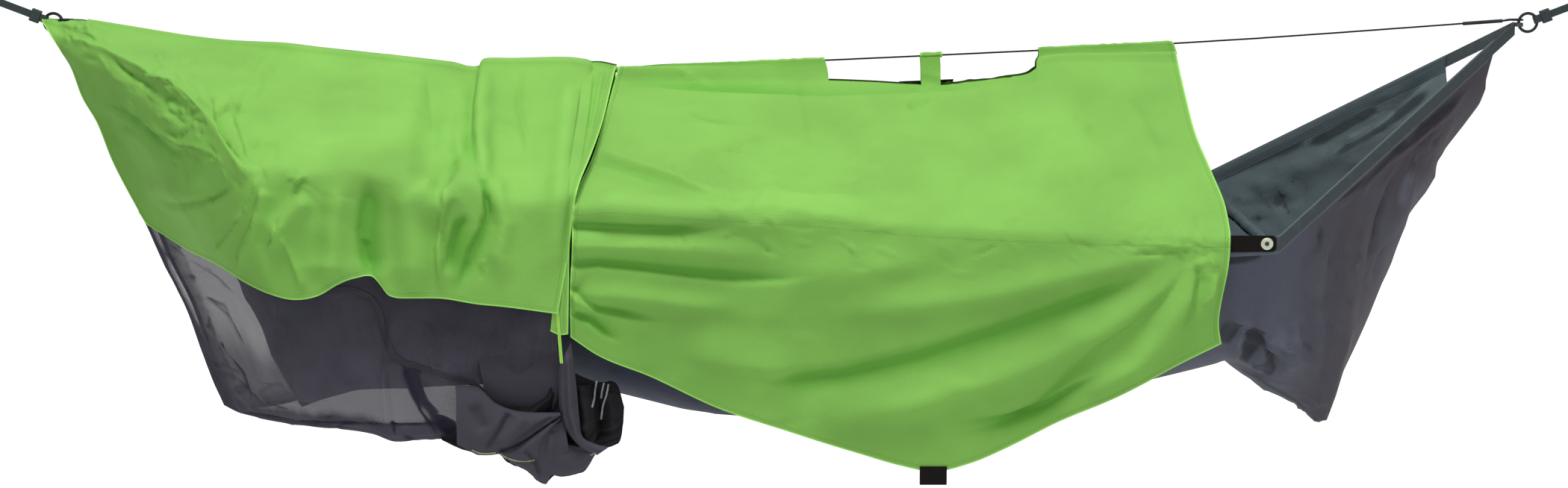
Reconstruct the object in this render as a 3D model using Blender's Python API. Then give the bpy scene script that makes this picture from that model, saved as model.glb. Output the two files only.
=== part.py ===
"""Covered camping hammock: a bed between two end rings, with a rain fly and a netted cover on its ridge cord.

Metres, +Z up, +X along the ridge, -Y towards the open side. The origin is midway between the two end rings.
"""

import math

import bmesh
import bpy
import numpy as np
from mathutils import Matrix, Vector

# Driving dimensions
TOUCH = 0.0004

RING_X = 1.4434
RING_RADIUS = 0.018
RING_TUBE = 0.003

CORD_RADIUS = 0.00175
CORD_GAP = 0.0007
EYE_HEIGHT = 0.0055
EYE_HALF_WIDTH = 0.0104
EYE_LENGTH = 0.0484
# Room between an eye's tip and its ring, so that they stay apart as the hammock swings.
EYE_GAP = 0.0005
SPLICE_LENGTH = 0.080
SPLICE_WALL = 0.0010
CORD_SETTLE = 0.140
CORD_END = RING_X - EYE_LENGTH
# How far from the ring's centre an eye's tip passes, just inside the ring at the eye's height.
EYE_REACH = math.sqrt((RING_RADIUS - RING_TUBE - CORD_RADIUS - EYE_GAP) ** 2 - EYE_HEIGHT**2)
# The ridge cord's run between its eyes, as (x, z).
RIDGE_RUN = (
    (-CORD_END, 0.0035),
    (-1.1310, -0.0399),
    (-0.6124, -0.0936),
    (-0.4712, -0.0986),
    (-0.3809, -0.0944),
    (0.7557, -0.0407),
    (CORD_END, 0.0035),
)

POLE_RADIUS = 0.0065
POLE_X = {"left": -0.967, "right": 0.865}
POLE_Z = {"left": -0.244, "right": -0.368}
POLE_TIP_RADIUS = 0.0033
CAP_RADIUS = 0.0075
CAP_LENGTH = 0.030
TIP_STANDOUT = 0.0023
SHOULDER_INSET = 0.0033

BED_HALF_WIDTH = 0.45
BED_THICKNESS = 0.0025
BRIDLE_INSET = 0.0282
BRIDLE_GAP = 0.0005
BRIDLE_END = RING_X - BRIDLE_INSET
# The bed's upper edge as (x, half width as a share of the full one, z). It is straight past the poles.
BED_EDGE = (
    (-BRIDLE_END, 0.006, 0.0010),
    (POLE_X["left"] - 0.023, 1.000, POLE_Z["left"] + 0.0125),
    (POLE_X["left"] + 0.101, 1.000, POLE_Z["left"] + 0.0010),
    (-0.505, 0.978, -0.2934),
    (-0.208, 0.967, -0.3194),
    (0.152, 0.960, -0.3393),
    (0.506, 0.973, -0.3567),
    (POLE_X["right"] - 0.115, 1.000, POLE_Z["right"] + 0.0040),
    (POLE_X["right"] + 0.023, 1.000, POLE_Z["right"] + 0.0125),
    (BRIDLE_END, 0.006, 0.0010),
)
# The bed's lowest line as (x, z), with a drooping corner beyond each pole.
BED_FLOOR = (
    (-1.3646, -0.1303),
    (-1.0992, -0.5108),
    (-1.0391, -0.6108),
    (-1.0163, -0.7041),
    (-0.9791, -0.7624),
    (-0.8548, -0.7260),
    (-0.4383, -0.7031),
    (-0.1481, -0.7728),
    (0.1022, -0.7916),
    (0.5103, -0.7499),
    (0.7823, -0.6792),
    (0.9180, -0.7260),
    (1.0525, -0.7937),
    (1.1045, -0.6543),
    (1.1873, -0.4165),
    (1.2411, -0.3328),
    (1.3576, -0.1042),
)
BED_ROUNDNESS = 0.9
BED_SECTION_STEP = 0.11
BED_FOLD = 0.006

WEBBING_WIDTH = 0.025
WEBBING_THICKNESS = 0.002
END_LOOP_HEIGHT = 0.007
END_LOOP_HALF_LENGTH = 0.0066
END_LOOP_HALF_WIDTH = 0.0105
END_LOOP_CORNER = 0.0045
END_LOOP_Z = -0.0040
# From the ring's centre to the loop's middle, with the loop's far end just inside the ring.
END_LOOP_SEAT = math.sqrt((RING_RADIUS - RING_TUBE - TOUCH) ** 2 - (END_LOOP_HEIGHT / 2 - END_LOOP_Z) ** 2)
END_LOOP_INSET = END_LOOP_SEAT + END_LOOP_HALF_LENGTH - WEBBING_THICKNESS / 2
SIDE_STRAP_HEIGHT = 0.030
SIDE_STRAP_INBOARD = 0.080
SIDE_STRAP_OUTBOARD = 0.017
SIDE_STRAP_CORNER = 0.007
GROMMET_RADIUS = 0.0115
GROMMET_FLANGE = 0.0015
GROMMET_BARREL = 0.0050
HOLE_CLEARANCE = 0.0004

HANG_ANGLE = math.radians(21.0)
STRAP_WIDTH = 0.014
STRAP_THICKNESS = 0.002
STRAP_LENGTH = 0.176
STRAP_LOOP = 0.009
STRAP_RING_GAP = 0.0001
LEG_GAP = 0.0005
STRAP_EYE_HALF = RING_TUBE + LEG_GAP + STRAP_THICKNESS / 2
STRAP_LEG_HALF = STRAP_THICKNESS / 2 + LEG_GAP
# Along the strap from its ring: where the eye closes, where the legs meet and where they part again.
EYE_CLOSING = 0.026
LEGS_MEET = 0.032
LEGS_PART = 0.034
KEEPER_WIDTH = 0.025
KEEPER_LENGTH = 0.018
KEEPER_WALL = 0.0015
# Half the slot's depth: it clears the eye's shoulders, where the strap leaves its ring.
KEEPER_SLOT_HALF = STRAP_EYE_HALF + STRAP_THICKNESS / 2 - 0.0006
KEEPER_START = 0.028
KEEPER_CORNER = 0.002
KEEPER_SLOT_CORNER = 0.0008

FLY_LEFT = -0.3313
FLY_RIGHT = 0.748
FLY_WINDOWS = ((0.067, 0.254), (0.297, 0.485))
PANEL_THICKNESS = 0.0025
SLEEVE_RADIUS = 0.0040
PANEL_STANDOFF = 0.0140
# The fly's lower hem as (x, z), lowest at the webbing tab.
FLY_HEM = (
    (-0.4028, -0.5450),
    (-0.3533, -0.5771),
    (-0.2589, -0.6145),
    (-0.1358, -0.6748),
    (-0.0123, -0.7166),
    (0.1249, -0.7616),
    (0.2624, -0.7941),
    (0.3309, -0.7784),
    (0.3991, -0.7480),
    (0.4946, -0.6988),
    (0.6041, -0.6498),
    (0.7191, -0.5885),
    (0.7876, -0.5533),
)
FLY_SAG = 0.014
FLY_CREASE = 0.006
FLY_SWAG = 0.011
FLY_SWAG_CENTRE = 1.06
FLY_HEM_LEFT = -0.401
FLY_HEM_RIGHT = 0.788
TAB_WIDTH = 0.050
TAB_DROP = 0.026
TAB_LAP = 0.009
TAB_THICKNESS = 0.0015
TAB_GAP = 0.0011
PATCH_WIDTH = 0.107
PATCH_THICKNESS = 0.0015
PATCH_DROP = 0.0021

COVER_LEFT = -CORD_END - 0.0040
COVER_EDGE_LEFT = -CORD_END
COVER_EDGE_RIGHT = -0.4045
COVER_FLY_GAP = 0.0045
# How much further out the cover stands where it passes over a pole's tip, and over its black strap.
COVER_TIP_RELIEF = 0.0128
COVER_STRAP_RELIEF = 0.006
# How far outside the bed the hanging sheets stay, and how much further round the left end's bag.
SKIRT_CLEARANCE = 0.012
BAG_CLEARANCE = 0.020
# How far over the bed edge the fly folds, and how much more over the black side strap.
FLY_EDGE_RISE = 0.008
FLY_STRAP_RISE = 0.013
TIP_HALF_WIDTH = 0.012
NET_TUCK = 0.075
COVER_SAG = 0.012
COVER_RIPPLE = 0.006
COVER_WAVE = 0.012
BUNDLE_START = 0.70
BUNDLE_HEIGHT = 0.016
NET_THICKNESS = 0.002
# The green cover's lower hem as (x, z).
COVER_HEM = (
    (-1.2799, -0.4003),
    (-1.1669, -0.4280),
    (-1.0888, -0.4409),
    (-1.0127, -0.4594),
    (-0.9045, -0.4728),
    (-0.8576, -0.4625),
    (-0.7746, -0.4285),
    (-0.7407, -0.4563),
    (-0.5169, -0.4862),
    (-0.4267, -0.4986),
)
# The net's lower hem as (x, z).
NET_HEM = (
    (-1.1363, -0.7685),
    (-1.0851, -0.7664),
    (-0.9414, -0.7528),
    (-0.7826, -0.7465),
    (-0.7410, -0.7602),
    (-0.6641, -0.7549),
    (-0.6133, -0.7183),
    (-0.5616, -0.6818),
    (-0.4389, -0.6693),
)
# The gathered end of the net as (x, top z, bottom z, half thickness).
BUNCH = (
    (-0.655, -0.755, -0.763, 0.006),
    (-0.634, -0.737, -0.769, 0.016),
    (-0.615, -0.722, -0.776, 0.024),
    (-0.573, -0.6923, -0.785, 0.034),
    (-0.534, -0.683, -0.799, 0.040),
    (-0.494, -0.678, -0.818, 0.044),
    (-0.458, -0.676, -0.843, 0.046),
    (-0.434, -0.674, -0.829, 0.046),
    (-0.423, -0.647, -0.825, 0.046),
    (-0.383, -0.631, -0.815, 0.044),
    (-0.365, -0.633, -0.785, 0.040),
    (-0.332, -0.645, -0.766, 0.030),
    (-0.314, -0.664, -0.727, 0.014),
)
BUNCH_Y = BED_HALF_WIDTH - 0.058
BUNCH_PLEAT = 0.006


def linear(colour):
    """An sRGB hex colour as the linear numbers that a material takes."""
    parts = [int(colour[i : i + 2], 16) / 255 for i in (0, 2, 4)]
    return [c / 12.92 if c <= 0.04045 else ((c + 0.055) / 1.055) ** 2.4 for c in parts] + [1]


def material(name, colour, roughness, metallic=0.0, alpha=1.0):
    made = bpy.data.materials.new(name)
    made.use_nodes = True
    shader = made.node_tree.nodes["Principled BSDF"]
    shader.inputs["Base Color"].default_value = linear(colour)
    shader.inputs["Roughness"].default_value = roughness
    shader.inputs["Metallic"].default_value = metallic
    shader.inputs["Alpha"].default_value = alpha
    return made


def place(data, name, finish):
    obj = bpy.data.objects.new(name, data)
    obj.data.materials.append(finish)
    bpy.context.scene.collection.objects.link(obj)
    return obj


def solid(name, points, faces, finish):
    """A mesh object from points and faces that already close and face out."""
    mesh = bpy.data.meshes.new(name)
    mesh.from_pydata([tuple(float(c) for c in p) for p in points], [], faces)
    mesh.shade_smooth()
    mesh.set_sharp_from_angle(angle=math.radians(40))
    return place(mesh, name, finish)


def grid_normals(grid):
    along_rows = np.gradient(grid, axis=0)
    along_columns = np.gradient(grid, axis=1)
    normals = np.cross(along_rows, along_columns)
    return normals / np.linalg.norm(normals, axis=2, keepdims=True)


def cloth(name, grid, thickness, finish, open_cells=()):
    """A closed sheet of the thickness about a grid of points, with some of its cells left out as openings."""
    rows, columns = grid.shape[:2]
    offset = grid_normals(grid) * thickness / 2
    points = np.concatenate([(grid + offset).reshape(-1, 3), (grid - offset).reshape(-1, 3)])
    back = rows * columns
    outer = []
    for r in range(rows - 1):
        for c in range(columns - 1):
            if (r, c) not in open_cells:
                a = r * columns + c
                outer.append((a, a + columns, a + columns + 1, a + 1))
    directed = {(f[i], f[(i + 1) % 4]) for f in outer for i in range(4)}
    walls = [(b, a, a + back, b + back) for a, b in directed if (b, a) not in directed]
    inner = [tuple(i + back for i in reversed(face)) for face in outer]
    used = sorted({i for face in outer + inner + walls for i in face})
    place_of = {old: new for new, old in enumerate(used)}
    faces = [[place_of[i] for i in face] for face in outer + sorted(walls) + inner]
    return solid(name, points[used], faces, finish)


def sweep(name, centres, sections, finish, closed=False):
    """A solid swept through rings of points. sections[i] holds ring i's points about centres[i]."""
    count = len(sections[0])
    points = [np.asarray(c) + np.asarray(p) for c, ring in zip(centres, sections) for p in ring]
    faces = []
    last = len(centres) if closed else len(centres) - 1
    for i in range(last):
        first, second = i * count, (i + 1) % len(centres) * count
        for j in range(count):
            k = (j + 1) % count
            faces.append((first + j, first + k, second + k, second + j))
    if not closed:
        faces.append(tuple(reversed(range(count))))
        end = (len(centres) - 1) * count
        faces.append(tuple(end + j for j in range(count)))
    obj = solid(name, points, faces, finish)
    face_outwards(obj)
    return obj


def face_outwards(obj):
    made = bmesh.new()
    made.from_mesh(obj.data)
    bmesh.ops.recalc_face_normals(made, faces=made.faces)
    made.to_mesh(obj.data)
    made.free()


def tangents(path, closed=False):
    """The direction at each point, halfway between those of the runs that meet there."""
    path = np.asarray(path, float)
    runs = np.roll(path, -1, axis=0) - path
    runs /= np.linalg.norm(runs, axis=1, keepdims=True)
    if not closed:
        runs[-1] = runs[-2]
    before = np.roll(runs, 1, axis=0)
    if not closed:
        before[0] = runs[0]
    steps = runs + before
    return steps / np.linalg.norm(steps, axis=1, keepdims=True)


def band(name, path, flat, width, thickness, finish, closed=False):
    """Webbing along a path. flat gives the direction across its thickness, one for all points or one each."""
    path = np.asarray(path, float)
    along = tangents(path, closed)
    flat = np.broadcast_to(np.asarray(flat, float), path.shape)
    through = flat - along * (flat * along).sum(axis=1, keepdims=True)
    through /= np.linalg.norm(through, axis=1, keepdims=True)
    return flat_sweep(name, path, np.cross(along, through), through, width, thickness, finish, closed)


def flat_sweep(name, path, across, through, width, thickness, finish, closed=False):
    """A flat strip along a path, with its width and thickness directions given at each point."""
    corners = ((-1, -1), (1, -1), (1, 1), (-1, 1))
    sections = [
        [a * u * width / 2 + t * v * thickness / 2 for u, v in corners]
        for a, t in zip(across, through)
    ]
    return sweep(name, path, sections, finish, closed)


def hollow_tube(name, path, inner, outer, finish, sides=12):
    """A sleeve along a path that runs mostly along X. inner and outer are its (y, z) radii."""
    path = np.asarray(path, float)
    angles = [2 * math.pi * i / sides for i in range(sides)]
    ring_out = [(0.0, outer[0] * math.cos(a), outer[1] * math.sin(a)) for a in angles]
    ring_in = [(0.0, inner[0] * math.cos(a), inner[1] * math.sin(a)) for a in angles]
    points = [p + np.array(q) for p in path for q in ring_out + ring_in]
    faces = []
    per_ring = 2 * sides
    for i in range(len(path) - 1):
        first, second = i * per_ring, (i + 1) * per_ring
        for j in range(sides):
            k = (j + 1) % sides
            faces.append((first + j, first + k, second + k, second + j))
            faces.append((first + sides + k, first + sides + j, second + sides + j, second + sides + k))
    end = (len(path) - 1) * per_ring
    for j in range(sides):
        k = (j + 1) % sides
        faces.append((j, sides + j, sides + k, k))
        faces.append((end + k, end + sides + k, end + sides + j, end + j))
    obj = solid(name, points, faces, finish)
    face_outwards(obj)
    return obj


def turned(name, profile, centre, side, finish, segments=16, closed=False):
    """A solid turned about a line along Y. profile holds (radius, distance outwards) from the centre."""
    centre = np.asarray(centre, float)
    points, rings = [], []
    for radius, out in profile:
        ring = []
        if radius < 1e-6:
            ring = [len(points)] * segments
            points.append(centre + (0, side * out, 0))
        else:
            for i in range(segments):
                angle = 2 * math.pi * i / segments
                ring.append(len(points))
                points.append(centre + (radius * math.cos(angle), side * out, radius * math.sin(angle)))
        rings.append(ring)
    faces = []
    pairs = list(zip(rings, rings[1:])) + ([(rings[-1], rings[0])] if closed else [])
    for first, second in pairs:
        for i in range(segments):
            k = (i + 1) % segments
            face = list(dict.fromkeys((first[i], first[k], second[k], second[i])))
            if len(face) > 2:
                faces.append(face)
    obj = solid(name, points, faces, finish)
    face_outwards(obj)
    return obj


def through_points(points, steps):
    """A smooth curve through a few points, steps pieces between each two."""
    points = [Vector(p) for p in points]
    made = []
    for i in range(len(points) - 1):
        before = points[max(i - 1, 0)]
        after = points[min(i + 2, len(points) - 1)]
        start, end = points[i], points[i + 1]
        reach = (end - start).length
        in_step = (end - before).normalized() * reach
        out_step = (after - start).normalized() * reach
        for s in range(steps):
            t = s / steps
            made.append(
                start * (2 * t**3 - 3 * t**2 + 1)
                + in_step * (t**3 - 2 * t**2 + t)
                + end * (-2 * t**3 + 3 * t**2)
                + out_step * (t**3 - t**2)
            )
    made.append(points[-1])
    return made


def step_up(value):
    value = min(max(value, 0.0), 1.0)
    return value * value * (3 - 2 * value)


def table(points, column=1):
    return lambda x: float(np.interp(x, [p[0] for p in points], [p[column] for p in points]))


RIDGE_POINTS = through_points([(x, 0.0, z) for x, z in RIDGE_RUN], 4)
ridge_height = table([(p.x, p.z) for p in RIDGE_POINTS])
edge_share = table(BED_EDGE, 1)
edge_height = table(BED_EDGE, 2)
floor_height = table(BED_FLOOR)
fly_hem_height = table(FLY_HEM)
cover_hem_height = table(COVER_HEM)
net_hem_height = table(NET_HEM)


def edge_width(x):
    return BED_HALF_WIDTH * edge_share(x)


def bed_width_at(x, z):
    """The bed's half width at a height, or nothing beyond its ends and under its floor."""
    top, low = edge_height(x), floor_height(x)
    if top > z > top - 2 * WEBBING_WIDTH:
        return edge_width(x) + 0.004
    if not BED_FLOOR[0][0] < x < BED_FLOOR[-1][0] or z < low or z > top:
        return 0.0
    sine = ((top - z) / (top - low)) ** (1 / BED_ROUNDNESS)
    return edge_width(x) * math.sqrt(max(0.0, 1 - sine * sine))


def ridge_path(start, end):
    """The ridge cord's own points between two places, so that a sleeve is true to the cord."""
    inside = [p for p in RIDGE_POINTS if start + 0.004 < p.x < end - 0.004]
    ends = [Vector((x, 0.0, ridge_height(x))) for x in (start, end)]
    return [ends[0]] + inside + [ends[1]]


def hidden_cutter(name, radius, x, z):
    """A long cylinder along Y, for the holes that a pole's tips pass through."""
    made = bmesh.new()
    turn = Matrix.Translation((x, 0, z)) @ Matrix.Rotation(math.pi / 2, 4, "X")
    size = {"radius1": radius, "radius2": radius, "depth": 3 * BED_HALF_WIDTH}
    bmesh.ops.create_cone(made, cap_ends=True, segments=20, matrix=turn, **size)
    mesh = bpy.data.meshes.new(name)
    made.to_mesh(mesh)
    made.free()
    cutter = bpy.data.objects.new(name, mesh)
    bpy.context.scene.collection.objects.link(cutter)
    cutter.hide_render = True
    cutter.display_type = "WIRE"
    return cutter


def cut(obj, cutters):
    for cutter in cutters:
        hole = obj.modifiers.new(cutter.name, "BOOLEAN")
        hole.operation = "DIFFERENCE"
        hole.solver = "EXACT"
        hole.object = cutter


def make_rings(finish):
    around, section = 24, 8
    side = np.array((0, 1, 0))
    for end, x in (("left", -RING_X), ("right", RING_X)):
        centres, sections = [], []
        for i in range(around):
            a = 2 * math.pi * i / around
            out = np.array((math.cos(a), 0, math.sin(a)))
            centres.append(np.array((x, 0, 0)) + out * RING_RADIUS)
            turns = [2 * math.pi * j / section for j in range(section)]
            sections.append([RING_TUBE * (out * math.cos(b) + side * math.sin(b)) for b in turns])
        sweep("ring_" + end, centres, sections, finish, closed=True)


def strap_centre_line():
    """An endless sling in its own plane: an eye for the ring, two legs and a hanging loop."""
    eye, leg = STRAP_EYE_HALF, STRAP_LEG_HALF
    seat = math.sqrt((RING_RADIUS - RING_TUBE) ** 2 - (STRAP_WIDTH / 2) ** 2)
    inner = seat - STRAP_RING_GAP - STRAP_THICKNESS / 2 + eye
    upper = [(inner - eye * math.cos(a), eye * math.sin(a)) for a in (0.45, 0.95, 1.45)]
    upper += [(RING_RADIUS + 0.002, eye), (EYE_CLOSING, eye - 0.0014)]
    upper += [(u, leg) for u in (LEGS_MEET, 0.060, 0.100)]
    loop_end = STRAP_LENGTH - STRAP_LOOP
    upper += [(loop_end - LEGS_PART, leg), (loop_end - 0.65 * LEGS_PART, leg + 0.0022)]
    upper += [(loop_end - 0.32 * LEGS_PART, STRAP_LOOP * 0.78)]
    upper += [(loop_end + STRAP_LOOP * math.sin(a), STRAP_LOOP * math.cos(a)) for a in (0.0, 0.5, 1.05)]
    lower = [(u, -v) for u, v in reversed(upper)]
    return [(inner - eye, 0.0)] + upper + [(STRAP_LENGTH, 0.0)] + lower


def make_hanging_straps(webbing, keeper_finish):
    line = strap_centre_line()
    for end, way in (("left", -1), ("right", 1)):
        out = np.array((way * math.cos(HANG_ANGLE), 0, math.sin(HANG_ANGLE)))
        across = np.array((-way * math.sin(HANG_ANGLE), 0, math.cos(HANG_ANGLE)))
        ring = np.array((way * RING_X, 0, 0))
        path = [ring + out * u + np.array((0, v, 0)) for u, v in line]
        along = tangents(path, closed=True)
        flat = np.cross(along, across)
        band(end + "_strap", path, flat, STRAP_WIDTH, STRAP_THICKNESS, webbing, closed=True)
        make_keeper(end + "_strap_keeper", ring, out, across, keeper_finish)


def make_keeper(name, ring, out, across, finish):
    """A folded keeper with a slot for both legs of the strap."""
    slot_across = STRAP_WIDTH / 2 + TOUCH
    slot_side = KEEPER_SLOT_HALF
    ring_out = rounded_box(KEEPER_WIDTH / 2, slot_side + KEEPER_WALL, KEEPER_CORNER)
    ring_in = rounded_box(slot_across, slot_side, KEEPER_SLOT_CORNER)
    points = []
    for u in (KEEPER_START, KEEPER_START + KEEPER_LENGTH):
        for a, v in ring_out + ring_in:
            points.append(ring + out * u + across * a + np.array((0, v, 0)))
    faces = []
    n = len(ring_out)
    for j in range(n):
        k = (j + 1) % n
        faces.append((j, k, 2 * n + k, 2 * n + j))
        faces.append((n + k, n + j, 3 * n + j, 3 * n + k))
        faces.append((j, n + j, n + k, k))
        faces.append((2 * n + k, 3 * n + k, 3 * n + j, 2 * n + j))
    face_outwards(solid(name, points, faces, finish))


def rounded_box(half_u, half_v, corner, steps=2):
    points = []
    for cu, cv, start in ((1, 1, 0), (-1, 1, 90), (-1, -1, 180), (1, -1, 270)):
        for s in range(steps + 1):
            a = math.radians(start + 90 * s / steps)
            u = cu * (half_u - corner) + corner * math.cos(a)
            v = cv * (half_v - corner) + corner * math.sin(a)
            points.append((u, v))
    return points


def cord_eye(way):
    """The eye round a ring, from the tail's end to the cord's run."""
    side = CORD_RADIUS + CORD_GAP / 2
    tip = RING_X - EYE_REACH
    z_run = RIDGE_RUN[-1][1]
    tail = [(CORD_END - SPLICE_LENGTH, -side), (CORD_END - SPLICE_LENGTH / 2, -side), (CORD_END, -side)]
    loop = [(tip - 0.0250, -side - 0.0040), (tip - 0.0155, -EYE_HALF_WIDTH + 0.0010)]
    loop += [(tip - 0.0062, -EYE_HALF_WIDTH)]
    loop += [(tip - 0.0016, -0.0088), (tip + 0.0002, -0.0050), (tip + 0.0004, 0.0)]
    turn = tail + loop + [(x, -y) for x, y in reversed(loop[:-1])] + [(tail[2][0], side)]
    heights = [ridge_height(way * tail[0][0]), ridge_height(way * tail[1][0]), z_run]
    heights += [EYE_HEIGHT] * (2 * len(loop) - 1) + [z_run]
    return [Vector((way * x, y, z)) for (x, y), z in zip(turn, heights)]


def make_ridge_cord(finish, splice_finish):
    left, right = cord_eye(-1), cord_eye(1)
    side = CORD_RADIUS + CORD_GAP / 2
    settle = CORD_END - CORD_SETTLE
    splice = CORD_END - SPLICE_LENGTH
    left.append(Vector((-splice, side, ridge_height(-splice))))
    right.append(Vector((splice, side, ridge_height(splice))))
    path = left + ridge_path(-settle, settle) + list(reversed(right))
    curve = bpy.data.curves.new("ridge_cord", "CURVE")
    curve.dimensions = "3D"
    curve.bevel_depth = CORD_RADIUS
    curve.bevel_resolution = 2
    curve.use_fill_caps = True
    spline = curve.splines.new("POLY")
    spline.points.add(len(path) - 1)
    for point, p in zip(spline.points, path):
        point.co = (p.x, p.y, p.z, 1)
    place(curve, "ridge_cord", finish)
    inner = (2 * CORD_RADIUS + CORD_GAP / 2 + TOUCH + 0.0003, CORD_RADIUS + 2 * TOUCH)
    outer = (inner[0] + SPLICE_WALL, inner[1] + SPLICE_WALL)
    for end, way in (("left", -1), ("right", 1)):
        xs = sorted(way * (CORD_END - d) for d in (0.002, SPLICE_LENGTH / 2, SPLICE_LENGTH - 0.002))
        hollow_tube("ridge_splice_" + end, [(x, 0, ridge_height(x)) for x in xs], inner, outer, splice_finish)


def make_end_loops(finish):
    """Short webbing loops round the rings' inner sides. The bridles meet them."""
    for end, way in (("left", -1), ("right", 1)):
        centre_x = way * (RING_X - END_LOOP_INSET)
        outline = rounded_box(END_LOOP_HALF_LENGTH, END_LOOP_HALF_WIDTH, END_LOOP_CORNER, 3)
        path = [(centre_x + u, v, END_LOOP_Z) for u, v in outline]
        flat = np.cross(tangents(path, closed=True), (0, 0, 1))
        band("end_loop_" + end, path, flat, END_LOOP_HEIGHT, WEBBING_THICKNESS, finish, closed=True)


def bed_sections():
    """The bed's sections: one at each station of its edge and floor, and more where those are far apart."""
    stations = sorted({p[0] for p in BED_EDGE[1:-1] + BED_FLOOR})
    xs = [stations[0]]
    for start, end in zip(stations, stations[1:]):
        pieces = max(1, round((end - start) / BED_SECTION_STEP))
        xs += [start + (end - start) * (i + 1) / pieces for i in range(pieces)]
    return xs


def bed_grid():
    """The trough as U sections, from the front edge to the rear edge, with folds fanning to the ends."""
    angles = [math.pi * i / 16 for i in range(17)]
    rows = []
    for x in bed_sections():
        width, top = edge_width(x), edge_height(x)
        depth = top - floor_height(x)
        ends = step_up((abs(x) - 0.55) / 0.35)
        row = []
        for a in angles:
            inward = BED_FOLD * ends * math.sin(a) ** 2 * (0.5 - 0.5 * math.cos(8 * a))
            reach = max(width - inward, 0.2 * width)
            drop = (depth - inward) * math.sin(a) ** BED_ROUNDNESS if 0 < a < math.pi else 0.0
            row.append((x, -reach * math.cos(a), top - drop))
        rows.append(row)
    return np.array(rows)


def make_bed(finish, cutters):
    cut(cloth("bed", bed_grid(), BED_THICKNESS, finish), cutters)


def bridle_stop(pole_end, ring_end):
    """A bridle's end, moved along its own line so that its outer corner stands just short of the end loop."""
    (start, _), (stop, way_out) = pole_end, ring_end
    face = RING_X - END_LOOP_INSET - END_LOOP_HALF_LENGTH - WEBBING_THICKNESS / 2
    reach = face - BRIDLE_GAP - abs(way_out.x) * WEBBING_THICKNESS / 2
    share = (reach - abs(start.x)) / (abs(stop.x) - abs(start.x))
    return start.lerp(stop, share), way_out


def make_edge_webbings(finish, cutters):
    out = BED_THICKNESS / 2 + TOUCH + WEBBING_THICKNESS / 2
    plan = beside([(x, BED_HALF_WIDTH * share) for x, share, _ in BED_EDGE], out)
    plan[0] = bridle_stop(plan[1], plan[0])
    plan[-1] = bridle_stop(plan[-2], plan[-1])
    for name, side in (("front_edge_webbing", -1), ("rear_edge_webbing", 1)):
        path = [(p.x, side * p.y, z - WEBBING_WIDTH / 2) for (p, _), (_, _, z) in zip(plan, BED_EDGE)]
        through = np.array([(n.x, side * n.y, 0) for _, n in plan])
        upright = np.broadcast_to((0.0, 0.0, 1.0), through.shape)
        webbing = flat_sweep(name, path, upright, through, WEBBING_WIDTH, WEBBING_THICKNESS, finish)
        cut(webbing, cutters)


def beside(line, distance):
    """A plan line moved outwards by a distance, with mitred corners: each point with its way out.

    A corner's way out is longer than one, so that a strip along the line keeps its thickness there.
    """
    steps = [Vector(b) - Vector(a) for a, b in zip(line, line[1:])]
    normals = [Vector((-s.y, s.x)).normalized() for s in steps]
    moved = []
    for i, point in enumerate(line):
        first, second = normals[max(i - 1, 0)], normals[min(i, len(normals) - 1)]
        way_out = (first + second) / (1 + first.dot(second))
        moved.append((Vector(point) + way_out * distance, way_out))
    return moved


def side_strap_face():
    """How far out the webbing's outer face stands where the side straps lie on it."""
    return BED_HALF_WIDTH + BED_THICKNESS / 2 + TOUCH + WEBBING_THICKNESS


def pole_shoulder():
    """How far out the pole caps' shoulders stand, just inside the bed's fabric."""
    return BED_HALF_WIDTH - BED_THICKNESS / 2 - SHOULDER_INSET


def make_side_straps(strap_finish, metal, cutters):
    inner = side_strap_face() + TOUCH
    for end, way in (("left", -1), ("right", 1)):
        x, z = POLE_X[end], POLE_Z[end]
        low, high = x - way * SIDE_STRAP_INBOARD, x + way * SIDE_STRAP_OUTBOARD
        middle, half = (low + high) / 2, abs(high - low) / 2
        outline = rounded_box(half, SIDE_STRAP_HEIGHT / 2, SIDE_STRAP_CORNER, 3)
        for name, side in (("front", -1), ("rear", 1)):
            centres = [(middle, side * (inner + t), z) for t in (0.0, WEBBING_THICKNESS)]
            section = [(u, 0, v) for u, v in outline]
            strap = sweep(f"{end}_side_strap_{name}", centres, [section, section], strap_finish)
            cut(strap, cutters)
            face = inner + WEBBING_THICKNESS + TOUCH
            bore = POLE_TIP_RADIUS + HOLE_CLEARANCE
            barrel_end = pole_shoulder() + TOUCH
            profile = [
                (bore, barrel_end),
                (GROMMET_BARREL, barrel_end),
                (GROMMET_BARREL, face),
                (GROMMET_RADIUS, face),
                (GROMMET_RADIUS - 0.0004, face + GROMMET_FLANGE * 0.7),
                (GROMMET_RADIUS - 0.0025, face + GROMMET_FLANGE),
                (bore + 0.0012, face + GROMMET_FLANGE),
                (bore, face + GROMMET_FLANGE * 0.6),
            ]
            turned(f"{end}_grommet_{name}", profile, (x, 0, z), side, metal, closed=True)


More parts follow.
